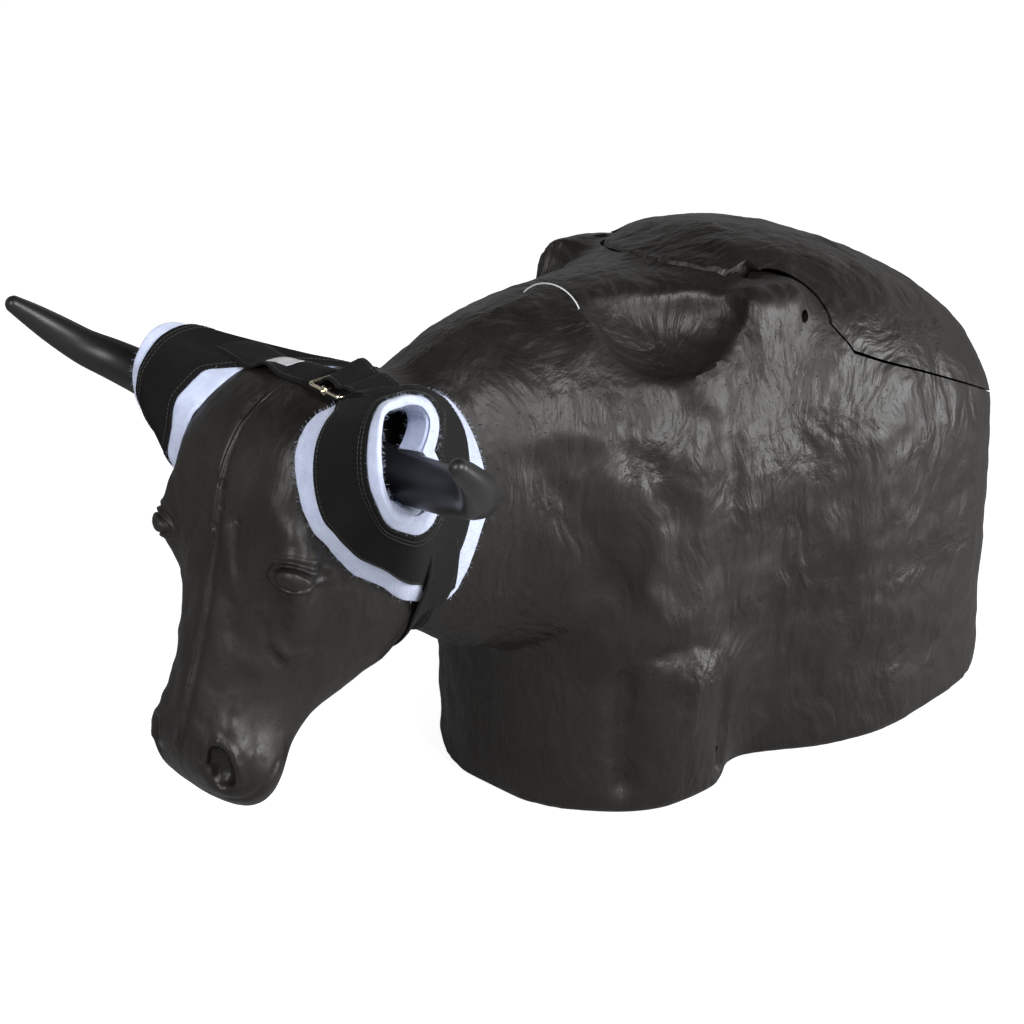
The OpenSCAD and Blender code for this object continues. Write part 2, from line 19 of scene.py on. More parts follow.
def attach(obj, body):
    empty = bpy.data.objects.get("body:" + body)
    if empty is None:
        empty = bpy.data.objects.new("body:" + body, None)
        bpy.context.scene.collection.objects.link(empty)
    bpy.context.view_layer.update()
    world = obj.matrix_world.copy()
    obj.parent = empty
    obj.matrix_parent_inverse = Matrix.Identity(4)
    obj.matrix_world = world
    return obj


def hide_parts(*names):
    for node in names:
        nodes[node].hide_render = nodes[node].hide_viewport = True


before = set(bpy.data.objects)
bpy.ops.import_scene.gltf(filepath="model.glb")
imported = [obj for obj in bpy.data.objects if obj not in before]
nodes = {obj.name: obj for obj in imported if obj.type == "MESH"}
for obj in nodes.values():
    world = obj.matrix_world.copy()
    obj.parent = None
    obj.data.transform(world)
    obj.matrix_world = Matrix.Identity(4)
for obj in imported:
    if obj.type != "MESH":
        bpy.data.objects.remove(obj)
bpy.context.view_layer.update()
scene = bpy.context.scene

# %% [markdown]
# ## Camera and studio
# The photo looks down on the head from the front left, with a long lens. A camera could be set by eye, but its
# numbers come from a fit to the outline of the real steer.
# Black plastic shows little but the shapes of its lamps, so three large soft lamps stand round the near side:
# a high one beside the head, one in front of it and a low one that draws a sheen along the flank.

# %% Camera
azimuth, elevation = math.radians(45.26), math.radians(22.46)
look = Vector((math.sin(azimuth) * math.cos(elevation), math.cos(azimuth) * math.cos(elevation),
               -math.sin(elevation)))
aim = Vector((-.07683, .04389, .29818))
camera_distance, focal_pixels, photo_pixels, sensor = 2.49971, 2279.9, 1024, 36
camera = bpy.data.objects.new("camera", bpy.data.cameras.new("camera"))
scene.collection.objects.link(camera)
camera.location = aim - look * camera_distance
camera.rotation_euler = look.to_track_quat("-Z", "Y").to_euler()
camera.data.sensor_width = sensor
camera.data.lens = focal_pixels / photo_pixels * sensor
scene.camera = camera
scene.view_settings.view_transform = "Standard"
print("camera", round(camera_distance, 2), "m away, lens", round(camera.data.lens, 1), "mm")


# %% Lamps
def lamp(name, energy, size, place):
    """A square lamp that looks at the middle of the steer."""
    data = bpy.data.lights.new(name, "AREA")
    data.energy, data.size = energy, size
    item = bpy.data.objects.new(name, data)
    item.location = place
    item.rotation_euler = (Vector((0, 0, .3)) - Vector(place)).to_track_quat("-Z", "Y").to_euler()
    scene.collection.objects.link(item)
    print(name, "lamp:", energy, "W,", size, "m wide")


lamp("key", 84, 1.3, (-.5, -2.7, 2.0))
lamp("front", 42, 1.1, (-2.7, -.6, 2.0))
lamp("flank", 56, 1.0, (1.9, -2.4, .56))


# %% [markdown]
# ## Shader helper
# A shader is easier to read as a sum than as a web of nodes. The class wraps a socket, and each operator adds
# one Math node, also the other way round, so that 1 - mask works. `make` adds any other node: its settings come
# first, then its inputs.

# %% Shader helper
class Shade:
    def __init__(self, tree, socket):
        self.tree, self.socket = tree, socket

    def make(self, kind, inputs=(), out=0, **settings):
        item = self.tree.nodes.new("ShaderNode" + kind)
        for key, value in settings.items():
            setattr(item, key, value)
        pairs = inputs.items() if isinstance(inputs, dict) else enumerate(inputs)
        for key, value in pairs:
            if isinstance(value, Shade):
                self.tree.links.new(value.socket, item.inputs[key])
            elif value is not None:
                item.inputs[key].default_value = value
        return Shade(self.tree, item.outputs[out])

    def maths(self, operation, *values):
        return self.make("Math", values, operation=operation)

    def __add__(self, other):
        return self.maths("ADD", self, other)

    def __radd__(self, other):
        return self.maths("ADD", other, self)

    def __sub__(self, other):
        return self.maths("SUBTRACT", self, other)

    def __rsub__(self, other):
        return self.maths("SUBTRACT", other, self)

    def __mul__(self, other):
        return self.maths("MULTIPLY", self, other)

    def __rmul__(self, other):
        return self.maths("MULTIPLY", other, self)

    def between(self, low, high, a=0.0, b=1.0):
        """Runs softly from a to b while the value goes from low to high."""
        return self.make("MapRange", (self, low, high, a, b), interpolation_type="SMOOTHSTEP")

    def noise(self, scale, detail, rough):
        return self.make("TexNoise", {"Vector": self, "Scale": scale, "Detail": detail, "Roughness": rough})

    def stretched(self, scale):
        return self.make("Mapping", {0: self, 3: scale}, vector_type="POINT")

    def mix(self, a, b):
        return self.make("Mix", {0: self, 6: a, 7: b}, out=2, data_type="RGBA")


# %% Material and grey
def material(name):
    """A new material with one Principled shader: returns it, a Shade to start from, and a setter."""
    item = bpy.data.materials.new(name)
    item.use_nodes = True
    tree = item.node_tree
    surface = tree.nodes["Principled BSDF"]
    start = Shade(tree, tree.nodes.new("ShaderNodeTexCoord").outputs["Object"])

    def put(**values):
        for key, value in values.items():
            socket = surface.inputs[key.replace("_", " ")]
            if isinstance(value, Shade):
                tree.links.new(value.socket, socket)
            else:
                socket.default_value = value
    print("material", name)
    return item, start, put


def grey(value, warm=1.0):
    """A grey that leans to brown where warm is over 1."""
    return (value * warm, value, value / warm, 1)


# %% [markdown]
# ## World and floor
# The photo was cut out on white. A white world would light the black plastic from all sides and wash it out, so
# only the camera sees white, through Light Path, and the light itself is dim and falls off towards the zenith.
# The floor does the same: it glows for the camera alone, and its plain grey keeps the shadow.

# %% World
world = bpy.data.worlds.new("studio")
scene.world = world
world.use_nodes = True
paint = Shade(world.node_tree, None)
rays = world.node_tree.nodes.new("ShaderNodeLightPath").outputs
seen = Shade(world.node_tree, rays["Is Camera Ray"])
heading = Shade(world.node_tree, world.node_tree.nodes.new("ShaderNodeTexCoord").outputs["Generated"])
rise = heading.make("SeparateXYZ", (heading,), out=2)
room = rise.between(.25, .8, .45, .02)
backdrop = paint.make("Background", {0: (1, 1, 1, 1), 1: room * (1 - seen) + seen})
world.node_tree.links.new(backdrop.socket, world.node_tree.nodes["World Output"].inputs[0])
print("world with", len(world.node_tree.nodes), "nodes")

# %% Floor
floor_mesh = bpy.data.meshes.new("floor")
floor_mesh.from_pydata([(-30, -30, 0), (30, -30, 0), (30, 30, 0), (-30, 30, 0)], [], [(0, 1, 2, 3)])
floor = bpy.data.objects.new("floor", floor_mesh)
scene.collection.objects.link(floor)
floor_paint, spot, put = material("floor")
rays = floor_paint.node_tree.nodes.new("ShaderNodeLightPath").outputs
glow = Shade(floor_paint.node_tree, rays["Is Camera Ray"]) * .91
put(Base_Color=(.45, .45, .45, 1), Roughness=.9, Emission_Color=glow)
put(Specular_IOR_Level=.1, Emission_Strength=1.0)
floor_mesh.materials.append(floor_paint)

# %% [markdown]
# ## Sizes and tables
# The body could be dressed with the CAD mesh itself, but its facets would show. So the tables are repeated here,
# and the body is lofted again with many more rings. Each row is a share of the length, followed by shares of the
# crest height or of the width.

# %% Sizes
barrel_length, barrel_width, crest_height, neck_length, wall = 730, 474, 566, 230, 6
head_length, head_width, brow_depth, head_pitch = 400, 200, 100, math.radians(26)
mid_level, foot_r, neck_end, front_cap, rear_cap = .53, 8, .295, .095, .25
overall_length = 1148.9
chest_x = overall_length / 2 - barrel_length
crown_x, crown_z = chest_x - neck_length, crest_height * .877
neck_end_x = chest_x + barrel_length * neck_end
hinge_x, hinge_z = chest_x + barrel_length * .427, crest_height * .913
knuckle_r, knuckle_in, knuckle_out, lid_half, ear_y = 35, 94, barrel_width * .347, 90, 88
print("chest at", round(chest_x), "crown at", round(crown_x), round(crown_z), "hinge at", round(hinge_x),
      round(hinge_z))

# %% Tables
torso_top = [[0, .60], [.045, .80], [.10, .93], [.16, .972], [.224, .982], [.295, .993], [.327, 1], [.381, 1.012],
             [.449, 1.024], [.531, 1.015], [.626, .988], [.721, .94], [.816, .872], [.898, .79], [.952, .712],
             [.984, .645], [1, .605]]
torso_mid = [[0, .40], [.045, .54], [.10, .69], [.16, .75], [.224, .80], [.327, .825], [.381, .85], [.449, .91],
             [.531, .98], [.626, 1], [.721, .985], [.816, .955], [.898, .92], [1, .87]]
torso_base = [[0, .50], [.045, .53], [.085, .62], [.136, .72], [.224, .755], [.26, .74], [.295, .67], [.34, .65],
              [.40, .75], [.449, .85], [.53, .95], [.60, .985], [.72, .97], [.82, .95], [1, .93]]
neck_rows = [[0, .956, .60, .27], [.096, .952, .51, .33], [.235, .928, .43, .365], [.353, .952, .372, .43],
             [.416, .962, .35, .48], [.499, .974, .325, .55], [.588, .985, .29, .625], [.711, .993, .21, .70],
             [.884, .997, .175, .73], [1, .993, .175, .73]]
head_rows = [[-.12, .20, -.60, .55], [-.07, .56, -1.00, .84], [0, .83, -1.30, .96], [.055, .94, -1.45, 1.02],
             [.117, .985, -1.55, 1.05], [.21, .98, -1.65, 1.05], [.275, .92, -1.68, 1.02], [.36, .83, -1.68, .98],
             [.43, .74, -1.65, .92], [.50, .70, -1.55, .82], [.605, .61, -1.16, .68], [.675, .585, -.88, .61],
             [.75, .55, -.66, .65], [.805, .51, -.58, .73], [.862, .42, -.52, .75], [.912, .22, -.42, .66],
             [.94, 0, -.30, .42], [.95, -.08, -.22, .05]]
print("rows for the body, the neck and the head:", len(torso_top), len(neck_rows), len(head_rows))


# %% Curves through tables
def curve(x, table, column=1):
    """The smooth curve through the rows of a table, as in the CAD."""
    rows = np.array(table, float)
    xs, ys = rows[:, 0], rows[:, column]
    last = len(xs) - 1
    ahead, behind = np.minimum(np.arange(last + 1) + 1, last), np.maximum(np.arange(last + 1) - 1, 0)
    lean = (ys[ahead] - ys[behind]) / (xs[ahead] - xs[behind])
    i = np.clip(np.searchsorted(xs, x, side="right") - 1, 0, last - 1)
    h = xs[i + 1] - xs[i]
    u = (x - xs[i]) / h
    return ((2 * u**3 - 3 * u**2 + 1) * ys[i] + (u**3 - 2 * u**2 + u) * lean[i] * h
            + (3 * u**2 - 2 * u**3) * ys[i + 1] + (u**3 - u**2) * lean[i + 1] * h)


def bow(t, power):
    """Rises from 0 to 1 as the end of an egg does."""
    return (1 - (1 - np.clip(t, 0, 1)) ** power) ** (1 / power)


def spow(v, power):
    """A power that keeps the sign, for rounded squares."""
    return np.sign(v) * np.abs(v) ** power


# %% [markdown]
# ## Rings
# A loft needs one ring of points for each station along the body, the neck and the head. Each ring can be drawn
# inwards by t, so that the same functions give the outside and the inside of the wall. Crowded stations at both
# ends keep the round ends round.

# %% Stations
def full_turn(n):
    return np.linspace(0, 2 * np.pi, n, endpoint=False)


def crowded(n):
    """Stations from 0 to 1 that lie closer together at both ends."""
    return (1 - np.cos(np.linspace(0, np.pi, n))) / 2


# %% Rings of the body
def torso_ring(s, t, n):
    """Arched above the widest level, straighter below it, with a rounded foot."""
    cap = bow((s + .003) / front_cap, 2.2) * bow((1.003 - s) / rear_cap, 2.3)
    x = chest_x + t + (barrel_length - 2 * t) * s
    zc, zt = crest_height * mid_level, crest_height * curve(s, torso_top) - t
    a = max(barrel_width / 2 * curve(s, torso_mid) * cap - t, 1)
    b = max(barrel_width / 2 * curve(s, torso_base) * cap - t, 1)
    zf = t + foot_r
    upper = [(a * math.cos(g) ** .8, zc + (zt - zc) * math.sin(g) ** .8)
             for g in np.radians(np.linspace(90, 0, n + 1))]
    lower = [(b + (a - b) * math.sin(math.radians(90 * u)), zf + (zc - zf) * u)
             for u in np.linspace(1, 0, n)[1:]]
    foot = [(max(b - foot_r * (1 - math.cos(q)) * .6, .9), zf - foot_r * math.sin(q)) for q in (.5, 1.05)]
    side = upper + lower + foot + [(max(b - foot_r / 2, .8), t)]
    return [(x, -y, z) for y, z in side[:0:-1]] + [(x, y, z) for y, z in side]


# %% Rings of the neck and the head
def neck_ring(s, t, n):
    zt, zb = crest_height * curve(s, neck_rows, 1) - t, crest_height * curve(s, neck_rows, 2) + t
    a = barrel_width / 2 * curve(s, neck_rows, 3) - t
    g = full_turn(n)
    return np.column_stack([np.full(n, crown_x + (neck_end_x - crown_x) * s), a * spow(np.sin(g), 2 / 2.1),
                            (zt + zb) / 2 + (zt - zb) / 2 * spow(np.cos(g), 2 / 2.1)])


def head_point(s, h, y):
    """A place on the head: share of its length from the crown, height over its middle line, and side."""
    return np.array([crown_x - head_length * s * math.sin(head_pitch) - h * math.cos(head_pitch), y,
                     crown_z - head_length * s * math.cos(head_pitch) + h * math.sin(head_pitch)])


def head_ring(s, t, n):
    front, back = brow_depth * curve(s, head_rows, 1), brow_depth * curve(s, head_rows, 2)
    a = max(head_width / 2 * curve(s, head_rows, 3) - t, 1)
    c, d = (front + back) / 2, max((front - back) / 2 - t, 1)
    e = 2 / (2.5 + 1.7 * min(max((.42 - s) / .2, 0), 1))
    return [head_point(s, c + d * spow(math.sin(q), e), a * spow(math.cos(q), e)) for q in full_turn(n)]


# %% [markdown]
# ## Mesh helpers
# Four shapes are enough for the plastic: a loft through rings, a hull round clouds of points, a prism and a drum.
# Booleans join and cut them. The manifold solver is quick and leaves closed solids, as long as it is given closed
# ones.

# %% A piece from points
def new_piece(name, points, faces):
    """A linked object from points in millimetres, with its faces turned outwards."""
    mesh = bpy.data.meshes.new(name)
    mesh.from_pydata((np.asarray(points, float) / 1000).tolist(), [], [list(map(int, f)) for f in faces])
    made = bmesh.new()
    made.from_mesh(mesh)
    bmesh.ops.recalc_face_normals(made, faces=made.faces)
    made.to_mesh(mesh)
    made.free()
    item = bpy.data.objects.new(name, mesh)
    scene.collection.objects.link(item)
    return item


def ring_faces(count, size, closed_length=False):
    """Squares between rings of one size; the last ring may join the first."""
    return [[i * size + j, i * size + (j + 1) % size, (i + 1) % count * size + (j + 1) % size,
             (i + 1) % count * size + j] for i in range(count if closed_length else count - 1) for j in range(size)]


# %% Loft
def loft(name, rings):
    """A closed skin through rings, with a fan at both ends."""
    n, k = len(rings[0]), len(rings)
    points = np.concatenate([np.asarray(r, float) for r in rings] + [[np.mean(rings[0], axis=0)],
                                                                     [np.mean(rings[-1], axis=0)]])
    faces = ring_faces(k, n)
    faces += [[k * n, (j + 1) % n, j] for j in range(n)]
    faces += [[k * n + 1, (k - 1) * n + j, (k - 1) * n + (j + 1) % n] for j in range(n)]
    return new_piece(name, points, faces)


# %% Points of balls and discs
def ball_points(centre, radius, count=14):
    q, g = np.meshgrid(np.linspace(0, np.pi, count), full_turn(2 * count))
    unit = np.column_stack([(np.sin(q) * np.cos(g)).ravel(), (np.sin(q) * np.sin(g)).ravel(), np.cos(q).ravel()])
    return np.asarray(centre) + unit * np.asarray(radius)


def round_outline(radius, x=0, z=0):
    """A circle in the side view, at a place from the rod's middle."""
    return [(hinge_x + x + radius * math.cos(q), hinge_z + z + radius * math.sin(q)) for q in full_turn(48)]


def disc_points(radius, y0, y1, x=0, z=0):
    return np.array([(px, y, pz) for y in (y0, y1) for px, pz in round_outline(radius, x, z)])


# %% Hull
def hull(name, *clouds):
    """The tightest closed skin round clouds of points."""
    made = bmesh.new()
    for p in np.concatenate(clouds):
        made.verts.new(p / 1000)
    bmesh.ops.remove_doubles(made, verts=made.verts, dist=1e-6)
    bmesh.ops.convex_hull(made, input=made.verts)
    bmesh.ops.delete(made, geom=[v for v in made.verts if not v.link_faces], context="VERTS")
    bmesh.ops.recalc_face_normals(made, faces=made.faces)
    mesh = bpy.data.meshes.new(name)
    made.to_mesh(mesh)
    made.free()
    item = bpy.data.objects.new(name, mesh)
    scene.collection.objects.link(item)
    return item


# %% Prism and drum
def prism(name, outline, y0, y1):
    """An outline in the side view (x, z), drawn out from y0 to y1."""
    n = len(outline)
    points = [(x, y, z) for y in (y0, y1) for x, z in outline]
    faces = [[j, (j + 1) % n, n + (j + 1) % n, n + j] for j in range(n)]
    return new_piece(name, points, faces + [list(range(n))[::-1], list(range(n, 2 * n))])


def drum(name, radius, y0, y1):
    """A cylinder on the rod's line."""
    return prism(name, round_outline(radius), y0, y1)


# %% Copies
def copied(piece, name):
    twin = piece.copy()
    twin.data = piece.data.copy()
    twin.name = name
    scene.collection.objects.link(twin)
    return twin


def mirrored(piece, name="mirrored"):
    twin = copied(piece, name)
    twin.data.transform(Matrix.Diagonal((1, -1, 1, 1)))
    twin.data.flip_normals()
    return twin


# %% Booleans
def bake(piece):
    """Applies all modifiers of a piece."""
    mesh = bpy.data.meshes.new_from_object(piece.evaluated_get(bpy.context.evaluated_depsgraph_get()))
    piece.modifiers.clear()
    old = piece.data
    piece.data = mesh
    bpy.data.meshes.remove(old)
    return piece


def carve(piece, operation, *tools, keep=False):
    """Joins, cuts or keeps with other closed solids, which are removed afterwards."""
    for tool in tools:
        step = piece.modifiers.new("step", "BOOLEAN")
        step.operation, step.solver, step.object = operation, "MANIFOLD", tool
    bake(piece)
    if not keep:
        for tool in tools:
            bpy.data.objects.remove(tool)
    return piece


# %% Softer values and softer shading
def softened(values, half, width, ends="edge"):
    """A bell-shaped mean down the columns of a table, whose ends go on level or wrap round."""
    kernel = np.exp(-(np.arange(-half, half + 1) / width) ** 2)
    padded = np.pad(values, [(half, half)] + [(0, 0)] * (values.ndim - 1), mode=ends)
    return np.apply_along_axis(np.convolve, 0, padded, kernel / kernel.sum(), "valid")


def smooth(piece, angle=None):
    """Soft shading, but for edges sharper than the angle."""
    piece.data.shade_smooth()
    if angle:
        piece.data.set_sharp_from_angle(angle=math.radians(angle))


# %% [markdown]
# ## The moulded body
# Rotational moulding gives one soft, thick skin in which no edge is sharp. It could be sculpted from a ball, but
# lofts through rings keep to the CAD's sizes. The lofts are joined and then remeshed into one even skin, which a
# light smoothing melts together, as the plastic does in the mould.

# %% Lofts
steer = loft("steer", [torso_ring(s, 0, 26) for s in crowded(101)])
neck_loft = loft("neck", [neck_ring(s, 0, 96) for s in np.linspace(0, 1, 41)])
head_loft = loft("head", [head_ring(s, 0, 112) for s in np.linspace(head_rows[0][0], head_rows[-1][0], 91)])
print("lofts:", [len(piece.data.polygons) for piece in (steer, neck_loft, head_loft)], "faces")

# %% Swellings of the head: share, height, side and radius at both ends
swellings = [(.25, 58, 1.02, 20, .34, 54, 1.13, 24), (.38, 40, 1.0, 20, .45, 20, .88, 18),
             (.80, 12, .74, 22, .87, 0, .66, 24)]
swells = []
for s0, h0, y0, r0, s1, h1, y1, r1 in swellings:
    swell = hull("swell", ball_points(head_point(s0, h0, y0 * head_width / 2 - r0), r0),
                 ball_points(head_point(s1, h1, y1 * head_width / 2 - r1), r1))
    swells += [swell, mirrored(swell)]
print(len(swells), "swellings on the head")

# %% Knuckles
knuckle_balls = [(-4, 0, 5, 31), (-62, -4, 10, 30), (-62, -14, 4, 28), (-60, 10, -44, 27), (0, 8, -46, 24)]
knuckle = hull("knuckle", disc_points(knuckle_r, knuckle_in, knuckle_in + 44),
               *[ball_points((hinge_x + x, knuckle_out + out - r, hinge_z + z), r) for x, out, z, r in knuckle_balls])
carve(steer, "UNION", neck_loft, head_loft, *swells, knuckle, mirrored(knuckle))
print("joined:", len(steer.data.polygons), "faces")

# %% Hollows behind the neck and nostrils
scoop_balls = [((.206, .268, .962), (88, 56, 60)), ((.150, .155, .993), (32, 26, 24))]


def scoop_solid(grow, count):
    return hull("scoop", *[ball_points((chest_x + barrel_length * a, barrel_width * b, crest_height * c),
                                       np.add(size, grow), count) for (a, b, c), size in scoop_balls])


def nostril_solid(grow):
    return hull("nostril", ball_points(head_point(.822, 35, 43), 12 + grow),
                ball_points(head_point(.864, 24, 48), 14.5 + grow))


# %% One even skin
def melt(piece, voxel, rounds):
    """Remeshes a solid into even squares, and smooths them a number of rounds."""
    step = piece.modifiers.new("even skin", "REMESH")
    step.mode, step.voxel_size = "VOXEL", voxel
    step = piece.modifiers.new("melt", "SMOOTH")
    step.factor, step.iterations = .5, rounds
    bake(piece)


melt(steer, .0063, 6)
scoop, nostril = scoop_solid(4, 24), nostril_solid(0)
carve(steer, "DIFFERENCE", scoop, mirrored(scoop), nostril, mirrored(nostril))
melt(steer, .00645, 1)
print("even skin:", len(steer.data.polygons), "faces")

# %% Finer faces for the head
head_starts, eye_places = -425, [(-512, side * 101, 399) for side in (-1, 1)]
nose_places = [(-563, side * 54, 205) for side in (-1, 1)]


def near_any(face, places, radius):
    centre = face.calc_center_median() * 1000
    return any((centre - Vector(place)).length < radius for place in places)


def refine(made, faces):
    bmesh.ops.subdivide_edges(made, edges=list({e for f in faces for e in f.edges}), cuts=1, use_grid_fill=True)


def relax(made, verts):
    bmesh.ops.smooth_vert(made, verts=verts, factor=.5, use_axis_x=True, use_axis_y=True, use_axis_z=True)


made = bmesh.new()
made.from_mesh(steer.data)
refine(made, [f for f in made.faces if f.calc_center_median().x < head_starts / 1000])
for _ in range(4):
    relax(made, [v for v in made.verts if v.co.x < (head_starts + 5) / 1000])
for places, radius in ((eye_places, 48), (eye_places, 40), (nose_places, 34)):
    refine(made, [f for f in made.faces if near_any(f, places, radius)])
    soft = list({v for f in made.faces if near_any(f, places, radius + 4) for v in f.verts})
    for _ in range(2):
        relax(made, soft)
made.to_mesh(steer.data)
made.free()
print("skin of the steer:", len(steer.data.polygons), "faces")

# %% [markdown]
# ## Sculpt the skin
# The brow, the jaw's muscles, the leg under the shoulder and the parting line are modelled by hand on the real
# mould. Sculpt mode would do it too, but it can't be written down. So a stroke raises or sinks the skin along a few
# places: first its half width, then its lift, then the places. Strokes away from the middle are made on both
# sides. Soft noise on top gives the hand-modelled unevenness.


# %% Trees, noise and the skin's points
def surface_tree(*pieces):
    """Finds the nearest point or the first hit of a ray on some pieces."""
    made = bmesh.new()
    for piece in pieces:
        made.from_mesh(piece.data)
    tree = BVHTree.FromBMesh(made)
    made.free()
    return tree


def soft_noise(points, scale, seed):
    return np.array([noise.noise(Vector(p * scale) + Vector((seed, seed * 2.7, 0))) for p in points])


def skin_points(piece):
    count = len(piece.data.vertices)
    flat, lean = np.empty(3 * count), np.empty(3 * count)
    piece.data.vertices.foreach_get("co", flat)
    piece.data.vertex_normals.foreach_get("vector", lean)
    return flat.reshape(-1, 3) * 1000, lean.reshape(-1, 3)


def set_points(piece, points):
    piece.data.vertices.foreach_set("co", (points / 1000).ravel())
    piece.data.update()


# %% Strokes
def sculpt(piece, strokes):
    """The skin's points and normals, with how far the strokes lift each point."""
    points, normals = skin_points(piece)
    tree = surface_tree(piece)
    shift = np.zeros(len(points))
    for width, lift, places in strokes:
        line = np.array(places, float)
        run = np.concatenate([[0], np.cumsum(np.linalg.norm(np.diff(line, axis=0), axis=1))])
        fine = np.arange(0, run[-1] + .01, width * .5)
        line = np.column_stack([np.interp(fine, run, line[:, k]) for k in range(3)])
        for side in (1,) if np.abs(line[:, 1]).max() < 9 else (1, -1):
            dots = np.array([tree.find_nearest(Vector(p * (1, side, 1)) / 1000)[0] for p in line]) * 1000
            near = np.all((points > dots.min(0) - 3 * width) & (points < dots.max(0) + 3 * width), axis=1)
            gap = np.min(np.linalg.norm(points[near][:, None] - dots[None], axis=2), axis=1)
            shift[near] += lift * np.exp(-(gap / width) ** 2)
    return points, normals, shift


# %% Places on the head
def on_head(width, lift, *places):
    """A stroke in head places: share of the length, side, height over the head's middle."""
    return width, lift, [head_point(s, h, y) for s, y, h in places]


# %% Strokes of the face and the flanks
parting = [(-.03, 2, 74), (.01, 6, 84), (.09, 3, 97), (.16, 2, 99), (.24, 0, 95), (.32, 0, 87), (.41, 0, 76),
           (.50, -2, 69), (.61, 0, 61), (.74, -2, 56), (.84, 2, 46)]
strokes = [
    on_head(2.4, 2.8, *parting), on_head(4.5, -1.5, *[(s, y - 5.5, h) for s, y, h in parting]),
    on_head(20, -4.5, (.16, 44, 95), (.26, 36, 92), (.36, 20, 84)), on_head(16, -4, (.46, 30, 66), (.52, 34, 58)),
    on_head(7.5, 4, (.30, 18, 88), (.36, 24, 82), (.44, 37, 68)), on_head(13, 3, (.25, 90, 78)),
    on_head(14, -3.5, (.31, 112, 30), (.38, 108, 26)),
    on_head(9, 2.4, (.45, 65, 48)), on_head(6.5, 2.8, (.52, 66, 32), (.545, 70, 14), (.53, 76, -2)),
    on_head(5, -3, (.49, 62, 44), (.54, 62, 30), (.565, 66, 14)), on_head(9, 2.4, (.585, 52, 42), (.60, 60, 28)),
    on_head(6, 1.2, (.67, 48, 42), (.70, 50, 38)), on_head(8, 1.6, (.745, 50, 38)),
    on_head(14, -3, (.68, 30, 50), (.76, 28, 48)),
    on_head(5, 3.4, (.84, 34, 40), (.81, 38, 44), (.79, 48, 42), (.80, 58, 35), (.83, 65, 27), (.86, 68, 18)),
    on_head(9, -1.5, (.835, 49, 39), (.86, 54, 31)), on_head(8, 2, (.88, 40, 32)),
    on_head(3, -1.6, (.92, 20, 8), (.90, 45, 4), (.86, 68, -6), (.80, 70, -18)),
    (28, -14, [(-118, 142, 283)]), (15, 5, [(-80, 163, 352), (-74, 166, 310), (-84, 160, 268)]),
    (12, 3, [(-84, 160, 262), (-60, 168, 240), (-40, 172, 225)]), (36, 13, [(-30, 182, 150), (-40, 178, 110)]),
    (8, -4, [(-75, 170, 190), (-30, 185, 196), (10, 188, 175), (25, 186, 135)]),
    (11, -10, [(30, 185, 124), (33, 181, 71), (30, 178, 20)]),
    (16, -13, [(-100, 148, 160), (-97, 145, 100), (-97, 145, 40)]), (6, -2.5, [(-42, 176, 130), (-48, 174, 95)]),
    (24, -6, [(26, 170, 450), (20, 182, 380), (11, 189, 274), (22, 187, 200)]),
    (32, 8, [(-20, 150, 440), (-40, 165, 390)]), (24, -7, [(-200, 110, 420), (-160, 130, 370), (-130, 138, 320)]),
    (16, -5, [(-100, 140, 420), (-70, 155, 400)]), (12, 2.5, [(-160, 108, 455), (-120, 128, 440)]),
    (4, 2.2, [(-330, 0, 540), (-200, 0, 560), (-100, 0, 565)])]
print(len(strokes), "strokes")


# %% Eyes
def eye_shift(points, tree):
    """Lift of an eye: a ball between two lids, the fold over it, and a soft socket and brow round them."""
    shift = np.zeros(len(points))
    for place in eye_places:
        centre, lean, _, _ = tree.find_nearest(Vector(place) / 1000)
        centre, lean = np.array(centre) * 1000, np.array(lean)
        sideways = np.cross((0, 0, 1), lean) * math.copysign(1, place[1])
        sideways /= np.linalg.norm(sideways)
        upwards = np.cross(lean, sideways) * math.copysign(1, place[1])
        sideways, upwards = sideways + .16 * upwards, upwards - .16 * sideways
        near = np.linalg.norm(points - centre, axis=1) < 70
        u, v = (points[near] - centre) @ sideways, (points[near] - centre) @ upwards
        r = np.sqrt((u / 20) ** 2 + ((v + .008 * u * u) / 10.5) ** 2)
        over = 1 / (1 + np.exp(-v / 3))
        lift = 3.2 * np.sqrt(np.clip(1 - r * r, 0, 1)) - 2.2 * np.exp(-((r - 1.0) / .14) ** 2)
        lift += (1.0 + .7 * over) * np.exp(-((r - 1.27) / .16) ** 2) - .9 * over * np.exp(-((r - 1.6) / .16) ** 2)
        lift += .9 * over * np.exp(-((r - 1.95) / .22) ** 2) - (1 - over) * np.exp(-((r - 1.7) / .3) ** 2)
        shift[near] += lift
    return shift


# %% Sculpt
points, normals, shift = sculpt(steer, strokes)
shift += eye_shift(points, surface_tree(steer))
uneven = soft_noise(points, .016, 4) * 3 + soft_noise(points, .04, 9) * 1.6 + soft_noise(points, .09, 5) * .6
uneven *= np.clip((points[:, 2] - 12) / 30, 0, 1) * np.clip((points[:, 0] + 460) / 60, .35, 1)
deep = KDTree(len(points))
for i, p in enumerate(points):
    deep.insert(p, i)
deep.balance()
set_points(steer, points + normals * (shift + uneven)[:, None])
print("lifts from", round(float(shift.min()), 1), "to", round(float(shift.max()), 1), "mm")

# %% [markdown]
# ## Inner wall, lid and hinge
# The skin is about 6 mm thick. Solidify could give it a wall, but it folds over itself at the sharp hollows, so the
# inner wall is lofted again with fewer rings: the inside of a moulding is soft and nobody sees it closely. The
# lid is cut from the same skin, so its surface runs on over the gap.

